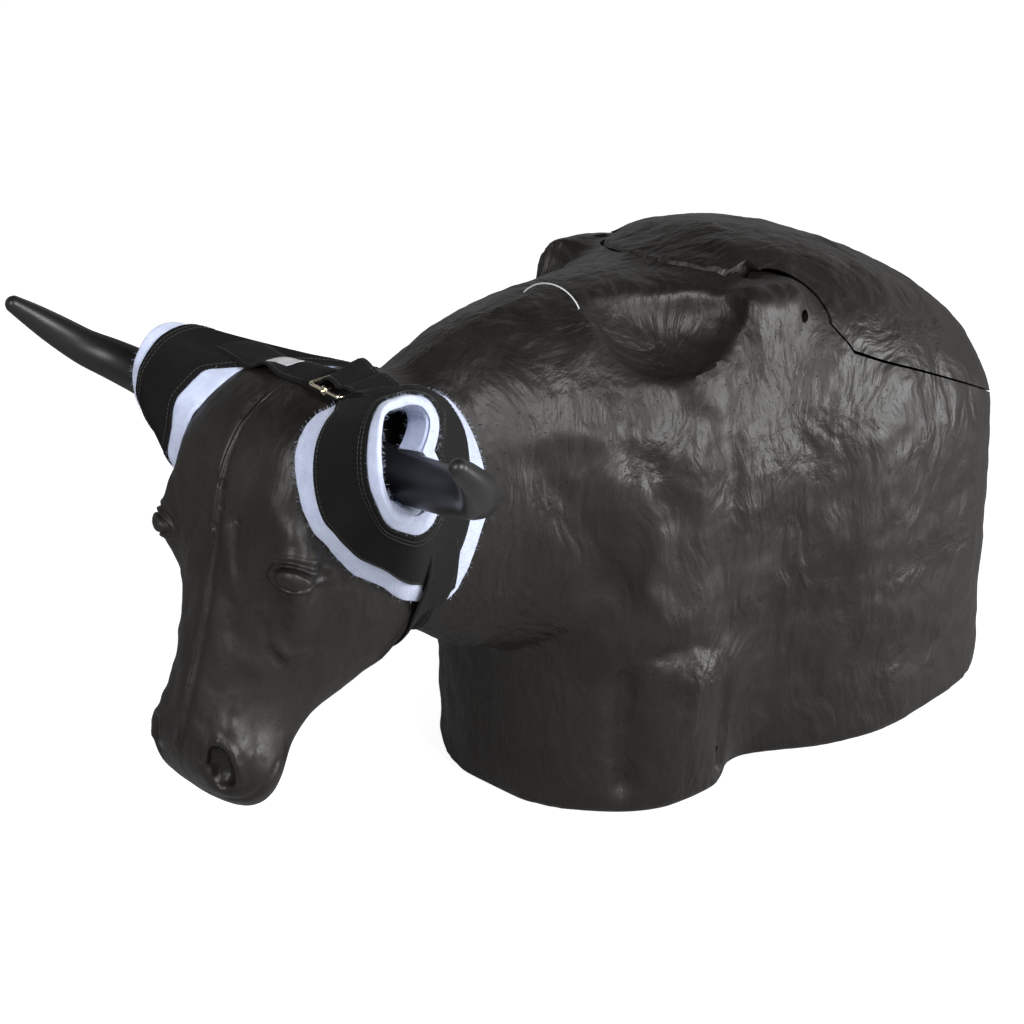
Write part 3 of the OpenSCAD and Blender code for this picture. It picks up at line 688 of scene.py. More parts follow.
# %% Room for the lid
seam = [(.498, .834), (.55, .804), (.632, .763), (.755, .698), (.913, .611), (1.03, .574)]
lip_reach, lip_drop, knuckle_gap = 88, 31, 3
print("seam from", round(chest_x + barrel_length * seam[0][0]), round(crest_height * seam[0][1]), "to",
      round(chest_x + barrel_length * seam[-1][0]), round(crest_height * seam[-1][1]))


def lid_space(grow):
    """The space behind the knuckles and above the seam that the lid fills, grown by a gap."""
    arc = [(hinge_x + (knuckle_r + knuckle_gap - grow) * math.cos(math.radians(q)),
            hinge_z + (knuckle_r + knuckle_gap - grow) * math.sin(math.radians(q)))
           for q in np.linspace(100, -22, 21)]
    line = np.array([(chest_x + barrel_length * a, crest_height * b) for a, b in seam])
    fine = np.linspace(0, len(line) - 1, 21)
    line = np.column_stack([np.interp(fine, range(len(line)), line[:, i]) for i in (0, 1)])
    lean = np.gradient(line, axis=0)
    lean /= np.linalg.norm(lean, axis=1)[:, None]
    lean *= np.linspace(1, .35, len(line))[:, None]
    line = line + grow * np.column_stack([lean[:, 1], -lean[:, 0]])
    outline = arc + [tuple(p) for p in line] + [(900, line[-1][1]), (900, 900), (arc[0][0], 900)]
    side = prism("lid_side", outline, -600, 600)
    rings = []
    for i in np.linspace(-1, 1, 33):
        r = lip_reach + grow - lip_drop * i * i
        rings.append([(hinge_x + r * math.cos(q), (lid_half + grow) * i, hinge_z + r * math.sin(q))
                      for q in full_turn(96)])
    return carve(side, "UNION", loft("lid_lip", rings))


# %% Inside of the wall
def inner_solid(t, full=True):
    """The hollow inside a wall t thick, which follows the deep strokes so that the wall keeps its thickness."""
    inside = loft("inside", [torso_ring(s, t, 20) for s in crowded(51)])
    if full:
        head_stations = np.linspace(head_rows[0][0] + t / head_length, head_rows[-1][0] - t / head_length, 41)
        carve(inside, "UNION", loft("neck", [neck_ring(s, t, 48) for s in np.linspace(0, 1, 31)]),
              loft("head", [head_ring(s, t, 48) for s in head_stations]))
        hollow, pit = scoop_solid(wall + 4, 16), nostril_solid(wall)
        carve(inside, "DIFFERENCE", hollow, mirrored(hollow), pit, mirrored(pit))
        for v in inside.data.vertices:
            _, i, gap = deep.find(v.co * 1000)
            if gap < 16 and shift[i] < -1.5:
                v.co += Vector(normals[i] * shift[i]) / 1000
    return inside


# %% Lid
bush_room, lid_raise = 10.15, 1.8
lid = copied(steer, "rump_lid_skin")
carve(lid, "INTERSECT", lid_space(-1))
carve(lid, "DIFFERENCE", inner_solid(wall - 1, full=False))
ear = hull("ear", *[disc_points(r, ear_y - 10, ear_y, x, z)
                    for r, x, z in ((17, 0, 0), (10, -21, 59.5), (10, 45.5, 59.5))])
ears = [ear, mirrored(ear)]
for item in ears:
    carve(item, "INTERSECT", loft("limit", [torso_ring(s, 2, 12) for s in crowded(41)]))
carve(lid, "UNION", *ears)
for v in lid.data.vertices:
    v.co.z += lid_raise / 1000 * min(max((v.co.z - hinge_z / 1000 - .02) / .02, 0), 1)
carve(lid, "DIFFERENCE", drum("bush_hole", bush_room, -95, 95))

# %% Body
skin = copied(steer, "whole_skin")
body = steer
body.name = "steer_skin"
carve(body, "DIFFERENCE", inner_solid(wall + .6))
holes = [lid_space(2.5)]
relief = [(knuckle_r + knuckle_gap - 1.5, q) for q in np.linspace(92, 146, 9)]
reach = [((crest_height * .081 + 3) * (1.5 if q < 120 else 1), q) for q in np.linspace(146, 92, 9)]
swing = prism("swing", [(hinge_x + r * math.cos(math.radians(q)), hinge_z + r * math.sin(math.radians(q)))
                        for r, q in relief + reach], knuckle_in - 3, knuckle_in + 24)
for tool in (drum("pocket", bush_room, 84, 138), swing, drum("rod_hole", 7, 79, 219),
             drum("washer_room", 15, 1, 94)):
    holes += [tool, mirrored(tool)]
carve(body, "DIFFERENCE", *holes)
for item in (body, lid):
    smooth(item, 40)
    print(item.name, len(item.data.polygons), "faces")

# %% [markdown]
# ## Felt cones and their webbing
# Each wrap is a cone of 8 mm pressed felt from the skull to a cuff round the horn, with black webbing sewn over
# it. A hem and a cuff lip stay bare. A cloth simulation could drape it, but it would fall elsewhere each time it is
# set up. So a point of a cone lies at an angle, at a share from the head to the cuff, and at an offset outwards,
# as in the CAD, and the looks stay where the solids are.

# %% Wrap tables
wrap_base = [[-8, 120, 95], [5, 118, 88], [23, 121, 76], [37, 126, 58], [56, 115, 52], [78, 111, 60],
             [101, 118, 66], [113, 129, 71], [119, 133, 73], [127, 140, 73], [135, 143, 76], [143, 144, 82],
             [156, 133, 86], [172, 121, 97], [183, 103, 99], [200, 88, 100], [241, 76, 100], [278, 107, 93],
             [294, 133, 80], [306, 143, 78], [316, 137, 84], [334, 123, 92], [352, 120, 95], [365, 118, 88]]
right_cuff = [[4, 43], [33, 35], [50, 50], [65, 61], [79, 65], [104, 64], [131, 52], [150, 45], [183, 37],
              [222, 38], [257, 45], [286, 54], [316, 60], [342, 56], [364, 43]]
left_cuff = [[4, 40], [12, 56], [19, 66], [27, 69], [41, 67], [61, 62], [89, 61], [112, 68], [124, 65], [136, 59],
             [152, 54], [168, 51], [190, 48], [213, 47], [242, 45], [262, 47], [280, 54], [300, 61], [320, 63],
             [338, 58], [352, 47], [364, 40]]
cuffs = {"left": (left_cuff, 1.0, -.45), "right": (right_cuff, .86, .157)}
base_mid, cuff_mid, cuff_y = (crown_x + 21, crown_z - 72), (crown_x - 52, crown_z + 16), 181
hem, cuff_lip, felt_t, webbing_t = 22, 14, 8, 2.5
print("cone tables:", len(wrap_base), "rows at the skull,", len(left_cuff), "and", len(right_cuff), "at the cuffs")


# %% A point of a wrap
def wrap_point(angle, v, w, side):
    """Points of a wrap, drawn on the right, at angles in degrees, shares v and offsets w, which may be arrays."""
    table, height, lean = cuffs[side]
    angle, v, w = np.broadcast_arrays(np.asarray(angle, float) % 360, v, w)
    r = curve(angle, wrap_base) + w
    q = np.radians(angle)
    base = np.stack([base_mid[0] + r * np.cos(q), curve(angle, wrap_base, 2), base_mid[1] + r * np.sin(q)], -1)
    r = curve(np.where(angle < 4, angle + 360, angle), table) + w
    x, z = r * np.cos(q), r * np.sin(q) * np.where(angle < 180, height, 1)
    cuff = np.stack([cuff_mid[0] + x, cuff_y + lean * x - .179 * z, cuff_mid[1] + z], -1)
    return base * (1 - v[..., None]) + cuff * v[..., None]


# %% Where the felt meets the head
# The head is grown by .4 mm, so that the felt that is cut by it doesn't shimmer through.
near_head = copied(skin, "near_head")
points, normals = skin_points(near_head)
set_points(near_head, points + normals * .4)
head_tree = surface_tree(near_head)
hem_angles = np.arange(0, 360, 3.0)


# %% Hem lines
def hem_line(side):
    """Share at which the outside of a cone comes out of the head, at each of the angles, made smooth."""
    found = []
    for angle in hem_angles:
        for v in np.arange(.6, -.26, -.01):
            p = Vector(wrap_point(angle, v, 0, side)) / 1000
            hit, normal, _, _ = head_tree.find_nearest(p)
            if (p - hit).dot(normal) < .0012:
                break
        found.append(v)
    found = np.clip(found, -.12, .5)
    soft = softened(found, 9, 4, "wrap")
    print(side, "hem shares from", round(float(soft.min()), 2), "to", round(float(soft.max()), 2))
    return np.maximum(soft, found - .03)


hems = {side: hem_line(side) for side in ("left", "right")}


# %% Grid of a wrap
def wrap_grid(angles, profile, side, starts):
    """Profile rows: share from head to cuff, offset outwards, share of the hem's shift, depth inside the cuff."""
    share, w, back, depth = np.array(profile).T
    angles = np.asarray(angles, float)
    start = np.interp(angles, hem_angles, starts, period=360)
    v = share[None] + start[:, None] * back[None]
    return wrap_point(angles[:, None], v, w[None], side) + depth[None, :, None] * np.array([.12, -1, -.1])


cone_run = float(np.linalg.norm(wrap_point(160, 1, 0, "right") - wrap_point(160, 0, 0, "right")))
print("cone", round(cone_run), "mm long")


# %% Closed ring with a UV map
def with_uv(piece, columns, rows):
    """Stores the ring step and the profile step of each corner as a UV map from 0 to 1."""
    layer = piece.data.uv_layers.new(name="UVMap")
    for face in piece.data.polygons:
        ids = [piece.data.loops[k].vertex_index for k in face.loop_indices]
        us, vs = [i // rows for i in ids], [i % rows for i in ids]
        for k, u, v in zip(face.loop_indices, us, vs):
            u = u + columns if u == 0 and max(us) > columns / 2 else u
            v = v + rows if v == 0 and max(vs) > rows / 2 else v
            layer.data[k].uv = (u / columns, v / rows)


def wrap_mesh(name, angles, profile, side, ripple, starts):
    """A closed ring of profiles round a cone."""
    points = ripple(wrap_grid(angles, profile, side, starts), angles, np.array(profile)).reshape(-1, 3)
    if side == "left":
        points = points * (1, -1, 1)
    piece = new_piece(name, points, ring_faces(len(angles), len(profile), closed_length=True))
    with_uv(piece, len(angles), len(profile))
    return piece


# %% [markdown]
# ## Felt
# Pressed felt is stiff and has soft, rounded edges. A thin cone with Solidify would have the same thickness
# all over, but not the sleeve that is turned in along the horn. So one closed section runs round the cone: hem,
# outside, rim, sleeve and inside. The plastic is cut out of it, so that it meets the skull without a gap.

# %% Section of the felt
def felt_profile():
    """Round the felt's section: hem, outside, rim, a sleeve turned in along the horn, and the inside."""
    edge = [((3 - 3 * math.sin(q)) / cone_run, -3 + 3 * math.cos(q), 1, 0) for q in np.linspace(math.pi / 2, 0, 6)]
    first, last, sleeve = 6 / cone_run, 1 - 8 / cone_run, 30
    outer = [(first + (last - first) * f, 0, max(0, 1 - 5 * f), 0) for f in np.linspace(0, 1, 24)]
    half = felt_t / 2
    rim = [(1 - (3.4 - 3.4 * math.sin(q)) / cone_run, -half + half * math.cos(q), 0, 0)
           for q in np.linspace(0, math.pi, 13)]
    turned = [(1, -felt_t - .2 * (d - 5), 0, d) for d in np.linspace(5, sleeve, 7)]
    turned += [(1, -felt_t - 4.5, 0, sleeve + 1.2)]
    turned += [(1, -felt_t + 3 - .2 * (d - 5), 0, d) for d in np.linspace(sleeve, 10, 6)]
    inner = [(first + (last - .04 - first) * f, -felt_t, max(0, 1 - 5 * f), 0) for f in np.linspace(1, 0, 18)]
    return edge + outer + rim + turned + inner


# %% Bumps of the felt
def felt_ripple(points, angles, profile):
    """Small uneven bumps, away from the cone's middle line."""
    flat = points.reshape(-1, 3)
    away = flat - flat.mean(axis=0)
    away[:, 1] = 0
    away /= np.linalg.norm(away, axis=1)[:, None]
    bumps = soft_noise(flat, .05, 3) * .8 + soft_noise(flat, .16, 8) * .4
    return (flat + away * bumps[:, None]).reshape(points.shape)


# %% Felt liners
felt_pieces, cover_pieces = {}, {}
for side in ("left", "right"):
    piece = wrap_mesh(side + "_felt_cone", np.linspace(0, 360, 300, endpoint=False), felt_profile(), side,
                      felt_ripple, hems[side])
    carve(piece, "DIFFERENCE", near_head, keep=True)
    smooth(piece, 50)
    felt_pieces[side] = piece
    print(side, "felt:", len(piece.data.polygons), "faces")

# %% [markdown]
# ## Webbing covers
# The webbing is woven with ribs across it, which fan round the cone from the head to the cuff. A bump would show
# them only in the render, so every rib is in the mesh. The bare hem is wider behind and below, and none is left
# beside the crown strap. Rows of its table: angle, and by how many millimetres it is wider.

# %% Bare hems
rib_count = 300
hem_more = {"left": ((0, 16), (44, 16), (58, -76), (112, -60), (124, 0), (190, 4), (220, 14), (282, 14),
                     (290, -30), (306, -30), (314, 14)),
            "right": ((0, 0), (20, 0), (36, -76), (112, -60), (124, -4), (165, -6), (210, -3), (300, 0))}
bare = {side: np.interp(hem_angles, *np.array(rows, float).T, period=360) / cone_run
        for side, rows in hem_more.items()}
print("widest hem", hem + max(more for rows in hem_more.values() for _, more in rows), "mm")


# %% Section of the webbing
def cover_profile():
    """Round the webbing's section: outside, rounded end, inside, rounded start."""
    low, high = .4, .4 + webbing_t
    first, last = (hem + 1) / cone_run, 1 - (cuff_lip + 1) / cone_run
    outer = [(v, high) for v in np.linspace(first, last, 16)]
    inner = [(v, low) for v in np.linspace(last, first, 7)]
    bend = [(.5 * (1 + math.cos(q)), math.sin(q) * 1.2 / cone_run) for q in np.linspace(.4, math.pi - .4, 4)]
    end = [(last + b, low + (high - low) * a) for a, b in bend]
    start = [(first - b, high + (low - high) * a) for a, b in bend]
    return [(v, w, max(0, 1 - 2 * v), 0) for v, w in outer + end + inner + start]


# %% Ribs and folds
def cover_ripple(points, angles, profile):
    """Ribs, and the diagonal fold where the webbing is taken in behind the horn."""
    first, last = hem / cone_run, 1 - cuff_lip / cone_run
    share, outside = (profile[None, :, 0] - first) / (last - first), (profile[None, :, 1] - .4) / webbing_t
    angle = angles[:, None]
    rib = .3 * np.cos(2 * np.pi * rib_count * angle / 360) * outside
    lean = (angle - 62 + 44 * share + 180) % 360 - 180
    fold = np.exp(-(lean / 4.5) ** 2) * 2.4 * outside * np.clip(share * 3, 0, 1)
    sag = .9 * np.sin(np.radians(angle * 3 + 40)) * np.sin(np.pi * np.clip(share, 0, 1)) * outside
    away = points - points.mean(axis=0, keepdims=True)
    away[..., 1] = 0
    away /= np.linalg.norm(away, axis=2)[..., None]
    return points + away * (rib + fold + sag)[..., None]


# %% Webbing covers
for side in ("left", "right"):
    piece = wrap_mesh(side + "_cone_webbing", np.linspace(0, 360, rib_count * 4, endpoint=False), cover_profile(),
                      side, cover_ripple, bare[side])
    carve(piece, "DIFFERENCE", near_head, keep=True)
    smooth(piece, 50)
    cover_pieces[side] = piece
    print(side, "webbing:", len(piece.data.polygons), "faces")

# %% [markdown]
# ## Straps
# A strap could be a flat piece bent by a curve, but it has to lie on plastic, felt and webbing in turn. So it is a
# grid of points dropped on what carries it, which gets the webbing's thickness, rounded edges and ribs across.

# %% Strap maker
seams, rib_pitch = [], 2.2


def strap_mesh(name, grid, normals, thickness=webbing_t, lift=.4, depth=.25, ends=(0, 0)):
    """grid: rows along the strap by columns across it, in millimetres. ends: 1 where an end sinks into its carrier.

    Every strap with ribs also leaves the two lines that it is sewn along in seams.
    """
    rows, columns = grid.shape[:2]
    along = np.concatenate([[0], np.cumsum(np.linalg.norm(np.diff(grid[:, columns // 2], axis=0), axis=1))])
    count = max(8, int(along[-1] / rib_pitch * 4))
    fine = np.linspace(0, along[-1], count)
    p, n = [np.stack([np.stack([np.interp(fine, along, a[:, c, k]) for k in range(3)], -1) for c in range(columns)], 1)
            for a in (grid, normals)]
    n /= np.linalg.norm(n, axis=2)[..., None]
    wave = depth * np.cos(2 * np.pi * fine / rib_pitch)[:, None, None]
    sunk = -(thickness + .8) * (np.exp(-fine / 11) * ends[0] + np.exp(-(fine[-1] - fine) / 11) * ends[1])
    n_lift = lift + sunk[:, None, None]
    top = p + n * (n_lift + thickness + wave)
    low = p + n * n_lift
    seams.extend([top[3:-3, 1], top[3:-3, -2]] if depth else [])
    across = p[:, -1] - p[:, 0]
    across /= np.linalg.norm(across, axis=1)[:, None]
    mid = lift + thickness / 2
    last = (p[:, -1] + n[:, -1] * (mid + sunk[:, None]) + across * thickness * .35)[:, None]
    first = (p[:, 0] + n[:, 0] * (mid + sunk[:, None]) - across * thickness * .35)[:, None]
    rings = np.concatenate([top, last, low[:, ::-1], first], axis=1)
    size = rings.shape[1]
    points = rings.reshape(-1, 3)
    faces = ring_faces(count, size)
    for base, turn in ((0, 1), ((count - 1) * size, -1)):
        loop = [base + k for k in range(size)]
        strip = [[loop[k], loop[k + 1], loop[2 * columns - k], loop[2 * columns + 1 - k]]
                 for k in range(columns)]
        strip[0] = [loop[0], loop[1], loop[2 * columns], loop[2 * columns + 1]]
        faces += [f[::turn] for f in strip]
    piece = new_piece(name, points, faces)
    layer = piece.data.uv_layers.new(name="UVMap")
    for loop in piece.data.loops:
        i, j = divmod(loop.vertex_index, size)
        layer.data[loop.index].uv = (fine[i] / 1000, min(j, 2 * columns + 1 - j) / columns * .05)
    smooth(piece, 50)
    return piece


# %% Height under a point
def drop(tree, x, y):
    """Height of the surface at a place, in millimetres, met from above."""
    return tree.ray_cast(Vector((x, y, 900)) / 1000, Vector((0, 0, -1)))[0].z * 1000


# %% [markdown]
# ## Crown strap and throat strap
# The crown strap runs over the poll from cone to cone, where its ends are sewn down. Taut webbing spans a hollow,
# so the dropped grid is raised to its own soft mean, which never goes below what carries it. The throat strap
# does the same round a line behind the jaw.

# %% What carries the straps
strap_w, strap_x = 51, crown_x - 11
carriers = surface_tree(skin, *cover_pieces.values(), *felt_pieces.values())
strap_cols = np.linspace(-strap_w / 2, strap_w / 2, 15)


# %% Drape and normals
def draped_strip(tree, ys, xs):
    """A grid over a strip, which spans the hollows of what it is dropped on."""
    height = np.array([[drop(tree, x, y) for x in xs] for y in ys])
    for _ in range(2):
        height = np.maximum(height, softened(height, 8, 3))
    return np.stack([np.broadcast_to(xs, height.shape), np.broadcast_to(np.array(ys)[:, None], height.shape),
                     height], -1)


def grid_normals(grid):
    along, across = np.gradient(grid, axis=0), np.gradient(grid, axis=1)
    normal = np.cross(across, along)
    normal /= np.linalg.norm(normal, axis=2)[..., None]
    return normal * np.sign(normal[..., 2:3].mean())


# %% Crown strap
ys = np.arange(-112, 113, 2.0)
grid = draped_strip(carriers, ys, strap_x + strap_cols)
# The strap's front edge stands up beside the label: by how much, at what side and over which half width.
edge_lift, edge_y, edge_width = 8, 34, 15
front = np.clip(-strap_cols / (strap_w / 2), 0, 1) ** 1.5
grid[..., 2] += edge_lift * np.exp(-((ys[:, None] - edge_y) / edge_width) ** 2) * front[None]
crown_piece = strap_mesh("crown_strap_webbing", grid, grid_normals(grid), ends=(1, 1))
print("crown strap from", round(float(grid[..., 2].min())), "to", round(float(grid[..., 2].max())), "mm high")

# %% Throat strap
throat_at = np.array([crown_x + 62, 0, crown_z - 190])
across_dir = np.array([math.cos(math.radians(12)), 0, math.sin(math.radians(12))])
down_dir = np.array([math.sin(math.radians(12)), 0, -math.cos(math.radians(12))])
throat_angles = np.radians(np.linspace(-124, 124, 125))
ways = down_dir * np.cos(throat_angles)[:, None] + np.array([0, 1, 0]) * np.sin(throat_angles)[:, None]
out = np.empty((len(ways), len(strap_cols)))
for i, way in enumerate(ways):
    for j, c in enumerate(strap_cols):
        start = throat_at + across_dir * c
        hit, _, _, _ = carriers.ray_cast(Vector(start + way * 280) / 1000, Vector(-way))
        out[i, j] = (np.array(hit) * 1000 - start) @ way
for _ in range(3):
    out = np.maximum(out, softened(out, 7, 4))
throat_grid = throat_at + across_dir * strap_cols[None, :, None] + ways[:, None] * out[..., None]
along, across = np.gradient(throat_grid, axis=0), np.gradient(throat_grid, axis=1)
throat_normals = np.cross(along, across)
throat_normals *= np.sign(np.sum(throat_normals * ways[:, None], axis=2).mean())
throat_piece = strap_mesh("throat_strap_webbing", throat_grid, throat_normals, ends=(1, 1))
print("throat strap down to", round(float(throat_grid[..., 2].min())), "mm")

# %% [markdown]
# ## Buckle
# A wire slide buckle is one bent frame with a bar across. The frame has an eye at each side, in which the bar
# turns, so the frame can tip. Curves with a round bevel could make it, and a tube swept along points is the same
# thing with the ends closed. The strap's tail comes up under the frame, over the bar, and down on the left cone.

# %% Buckle sizes
bar = np.array([strap_x, -60, crown_z + 56.4])
tilt = Matrix.Rotation(math.radians(5), 3, "X")
wire_d, buckle_reach = 4, 42
rail_x = strap_w / 2 + 2 + wire_d
print("bar at", [round(float(v)) for v in bar], "rails", round(rail_x, 1), "mm from the middle")


def at_bar(points):
    return np.array([tilt @ Vector(p) for p in points]) + bar


# %% Round tube
def tube(name, path, radius, sides=20, closed=False):
    """A round tube along points in millimetres, whose ring turns as little as it can, closed or with round ends."""
    path = np.asarray(path, float)
    if closed:
        lean = np.roll(path, -1, 0) - np.roll(path, 1, 0)
    else:
        lean = np.gradient(path, axis=0)
    lean /= np.linalg.norm(lean, axis=1)[:, None]
    side = np.cross(lean[0], (0, 0, 1) if abs(lean[0][2]) < .9 else (1, 0, 0))
    rings = []
    q = full_turn(sides)
    for centre, way in zip(path, lean):
        side = side - way * np.dot(side, way)
        side /= np.linalg.norm(side)
        up = np.cross(way, side)
        rings.append(centre + radius * (np.cos(q)[:, None] * side + np.sin(q)[:, None] * up))
    if closed:
        return new_piece(name, np.concatenate(rings), ring_faces(len(path), sides, closed_length=True))
    caps = [(path[0], -lean[0], rings[0]), (path[-1], lean[-1], rings[-1])]
    domes = []
    for centre, way, ring in caps:
        domes.append([centre + (ring - centre) * math.cos(a) + way * np.linalg.norm(ring[0] - centre) * math.sin(a)
                      for a in (.5, 1.0, 1.35)])
    return loft(name, domes[0][::-1] + rings + domes[1])


# %% Rounded rectangle
def rounded_rectangle(a, b, r):
    return [(sx * (a - r) + r * math.cos(q), sy * (b - r) + r * math.sin(q), 0)
            for sx, sy, start in ((1, 1, 0), (-1, 1, 90), (-1, -1, 180), (1, -1, 270))
            for q in np.radians(np.linspace(start, start + 90, 7))]


# %% Frame and bar
frame_wire = tube("buckle_wire", at_bar(rounded_rectangle(rail_x, buckle_reach / 2, 4)), wire_d / 2,
                  closed=True)
eyes = []
for s in (-1, 1):
    ring = [(s * rail_x, 3.2 * math.cos(q), 3.2 * math.sin(q)) for q in full_turn(28)]
    eyes.append(tube("eye", at_bar(ring), 1.5, 14, closed=True))
bar_wire = tube("buckle_bar_wire", at_bar([(x, 0, 0) for x in np.linspace(-rail_x - 2.4, rail_x + 2.4, 24)]), 1.92)
print("buckle", round(2 * rail_x), "by", buckle_reach, "mm, wire", wire_d, "mm")

# %% Strap's tail, as side views (y, z) at its front and rear edge
tail_front = [(-24, -9), (-34, -6.6), (-42, -3), (-49, 4), (-57, 8), (-65, 6), (-71, 2.8), (-77, 3.4), (-82, 5.2),
              (-88, 3.6), (-96, 0), (-106, -4)]
tail_rear = [(-24, -9), (-34, -5.8), (-41, 2), (-46, 11), (-53, 14.5), (-61, 12), (-68, 7), (-75, 5), (-81, 6.6),
             (-87, 5.6), (-96, 2), (-106, -2)]
t = np.linspace(0, len(tail_front) - 1, 67)
edge = [np.column_stack([curve(t, [[i, p[k]] for i, p in enumerate(rows)]) for k in (0, 1)])
        for rows in (tail_front, tail_rear)]
tail = []
for c in strap_cols:
    share = c / strap_w + .5
    lean = share * share * (3 - 2 * share)
    line = edge[0] * (1 - lean) + edge[1] * lean
    tail.append(np.column_stack([np.full(len(line), strap_x + c * .96), line[:, 0], bar[2] + line[:, 1]]))
tail = np.stack(tail, 1)
with_strap = surface_tree(skin, crown_piece, *cover_pieces.values(), *felt_pieces.values())
for i, row in enumerate(tail):
    for j, p in enumerate(row):
        tail[i, j, 2] = max(p[2], drop(with_strap, p[0], p[1]) + .2)
tail_piece = strap_mesh("buckle_strap_webbing", tail, grid_normals(tail), thickness=2.2, lift=.1)
print("buckle tail", [round(float(v)) for v in tail.reshape(-1, 3).min(0)],
      [round(float(v)) for v in tail.reshape(-1, 3).max(0)])

# %% Label, left bare
label_xs, label_ys = strap_x + np.linspace(-8, 14, 12), np.arange(22, 52.1, 2.0)
over = surface_tree(crown_piece)
label_grid = np.array([[(x, y, drop(over, x, y)) for x in label_xs] for y in label_ys])
label_piece = strap_mesh("woven_label", label_grid, grid_normals(label_grid), thickness=.7, lift=.15, depth=0)
print("label of", len(label_ys), "by", len(label_xs), "points")

# %% [markdown]
# ## Horns
# The horns are moulded in two halves, which leaves a fine line above and below. A bevelled curve has no such line,
# so rings are swept along the CAD's middle line, and each swells by half a millimetre at the two lines.

# %% Middle line of a horn
horn_path = [[-19, 88, -12], [-24, 130, -10], [-30, 170, -6], [-34, 208, -2], [-39, 240, 4], [-49, 266, 12],
             [-65, 287, 23], [-84, 304, 40], [-103, 315, 57], [-123, 322, 74]]
horn_d, horn_tip_d = 50, 17
print("horn over", len(horn_path), "points to a height of", round(crown_z + horn_path[-1][2]), "mm")


# %% Sweep of a horn
def horn_mesh(name):
    steps = np.linspace(-.6, 9, 90)
    line = np.column_stack([curve(steps, [[i, p[k]] for i, p in enumerate(horn_path)]) for k in range(3)])
    line += (crown_x, 0, crown_z)
    share = np.clip(steps / 9, 0, 1)
    radius = (horn_d / 2 - 1) * (1 - share**2.6) + horn_tip_d / 2 * share**2.6
    lean = np.gradient(line, axis=0)
    lean /= np.linalg.norm(lean, axis=1)[:, None]
    q = full_turn(144)
    rings = []
    tip = [(line[-1] + lean[-1] * radius[-1] * math.sin(a), lean[-1], radius[-1] * math.cos(a))
           for a in (.3, .6, .9, 1.2, 1.42)]
    for centre, way, r in list(zip(line, lean, radius)) + tip:
        side = np.cross(way, (0, 0, 1))
        side /= np.linalg.norm(side)
        up = np.cross(side, way)
        ridge = sum(np.exp(-(((q - at + np.pi) % (2 * np.pi) - np.pi) * r / 1.1) ** 2) for at in (1.45, 4.6))
        grown = r + .55 * ridge * min(1, r / 12)
        rings.append(centre + grown[:, None] * (np.cos(q)[:, None] * side + np.sin(q)[:, None] * up))
    piece = loft(name, rings)
    smooth(piece, 60)
    return piece


# %% Horns
right_horn = horn_mesh("right_horn_sweep")
left_horn = mirrored(right_horn, "left_horn_sweep")
print("horn:", len(right_horn.data.polygons), "faces")

# %% [markdown]
# ## Tag loop
# A loop of clear cord stands up on the neck where a hang tag was. Stiff cord takes the shape of an arc, so the
# path is the arc over two points of the crest, and the same tube as for the buckle runs along it.

# %% Top of the neck
cord_d, tag_half = 1.6, math.radians(56)


def neck_top(x, y):
    """Height of the neck's loft over a place."""
    s = (x - crown_x) / (neck_end_x - crown_x)
    a = barrel_width / 2 * curve(s, neck_rows, 3)
    zt, zb = crest_height * curve(s, neck_rows, 1), crest_height * curve(s, neck_rows, 2)
    return (zt + zb) / 2 + (zt - zb) / 2 * (1 - (abs(y) / a) ** 2.1) ** (1 / 2.1)


# %% Tag loop
ends = [np.array([chest_x + x, y, neck_top(chest_x + x, y) - .2]) for x, y in ((62, 10), (79.6, -52))]
chord = ends[1] - ends[0]
reach = np.linalg.norm(chord) / 2
radius = reach / math.sin(tag_half)
upward = np.array([0, 0, 1]) - chord * chord[2] / (chord @ chord)
upward /= np.linalg.norm(upward)
tag_path = [(ends[0] + ends[1]) / 2 + chord / (2 * reach) * radius * math.sin(q)
            + upward * radius * (math.cos(q) - math.cos(tag_half)) for q in np.linspace(-tag_half, tag_half, 41)]
tag_piece = tube("tag_cord", tag_path, cord_d / 2, 12)
print("tag loop", round(2 * tag_half * radius), "mm of cord")

# %% [markdown]
# ## Moulded plastic
# Every material is mixed from noise in the object's own coordinates, so each scratch and fibre stays in place.
# The black plastic is nearly smooth, but the mould was modelled with short locks of hair. Modelled one by one they
# would take millions of faces, so noise is stretched along the flank, and a second noise bends its coordinates
# into curls. The locks are calmer on the head. A ridge runs along the parting line of the mould, and small pits
# and four dimples are sunk.

# %% Locks of hair
plastic, spot, put = material("moulded_plastic")
bend = spot.make("TexNoise", {"Vector": spot, "Scale": 5.0, "Detail": 2.0}, out=1)
curly = spot.make("VectorMath", (bend, (.16, .16, .16), spot), operation="MULTIPLY_ADD")
hair = curly.stretched((7, 12, 2.4)).noise(8, 3, .5)
tufts = curly.stretched((3, 3, 1.6)).noise(8, 2, .5)
place_x, place_y = [spot.make("SeparateXYZ", (spot,), out=axis) for axis in (0, 1)]
coat = place_x.between(-.50, -.40, .35, 1)

# %% Parting line, pits and dimples
wobble = place_y + (spot.noise(14, 3, .6) - .5) * .004
ridge = wobble.maths("ABSOLUTE", wobble).between(.0004, .002, 1, 0)
pits = spot.noise(300, 1, .5).between(.70, .76)
marks = 0
for s, y, h in ((.20, -4, 98), (.25, -8, 94), (.30, 1, 89), (.27, -30, 91)):
    gap = spot.make("VectorMath", (spot, tuple(head_point(s, h, y) / 1000)), out=1, operation="DISTANCE")
    marks = gap.between(.003, .006, 1, 0) + marks

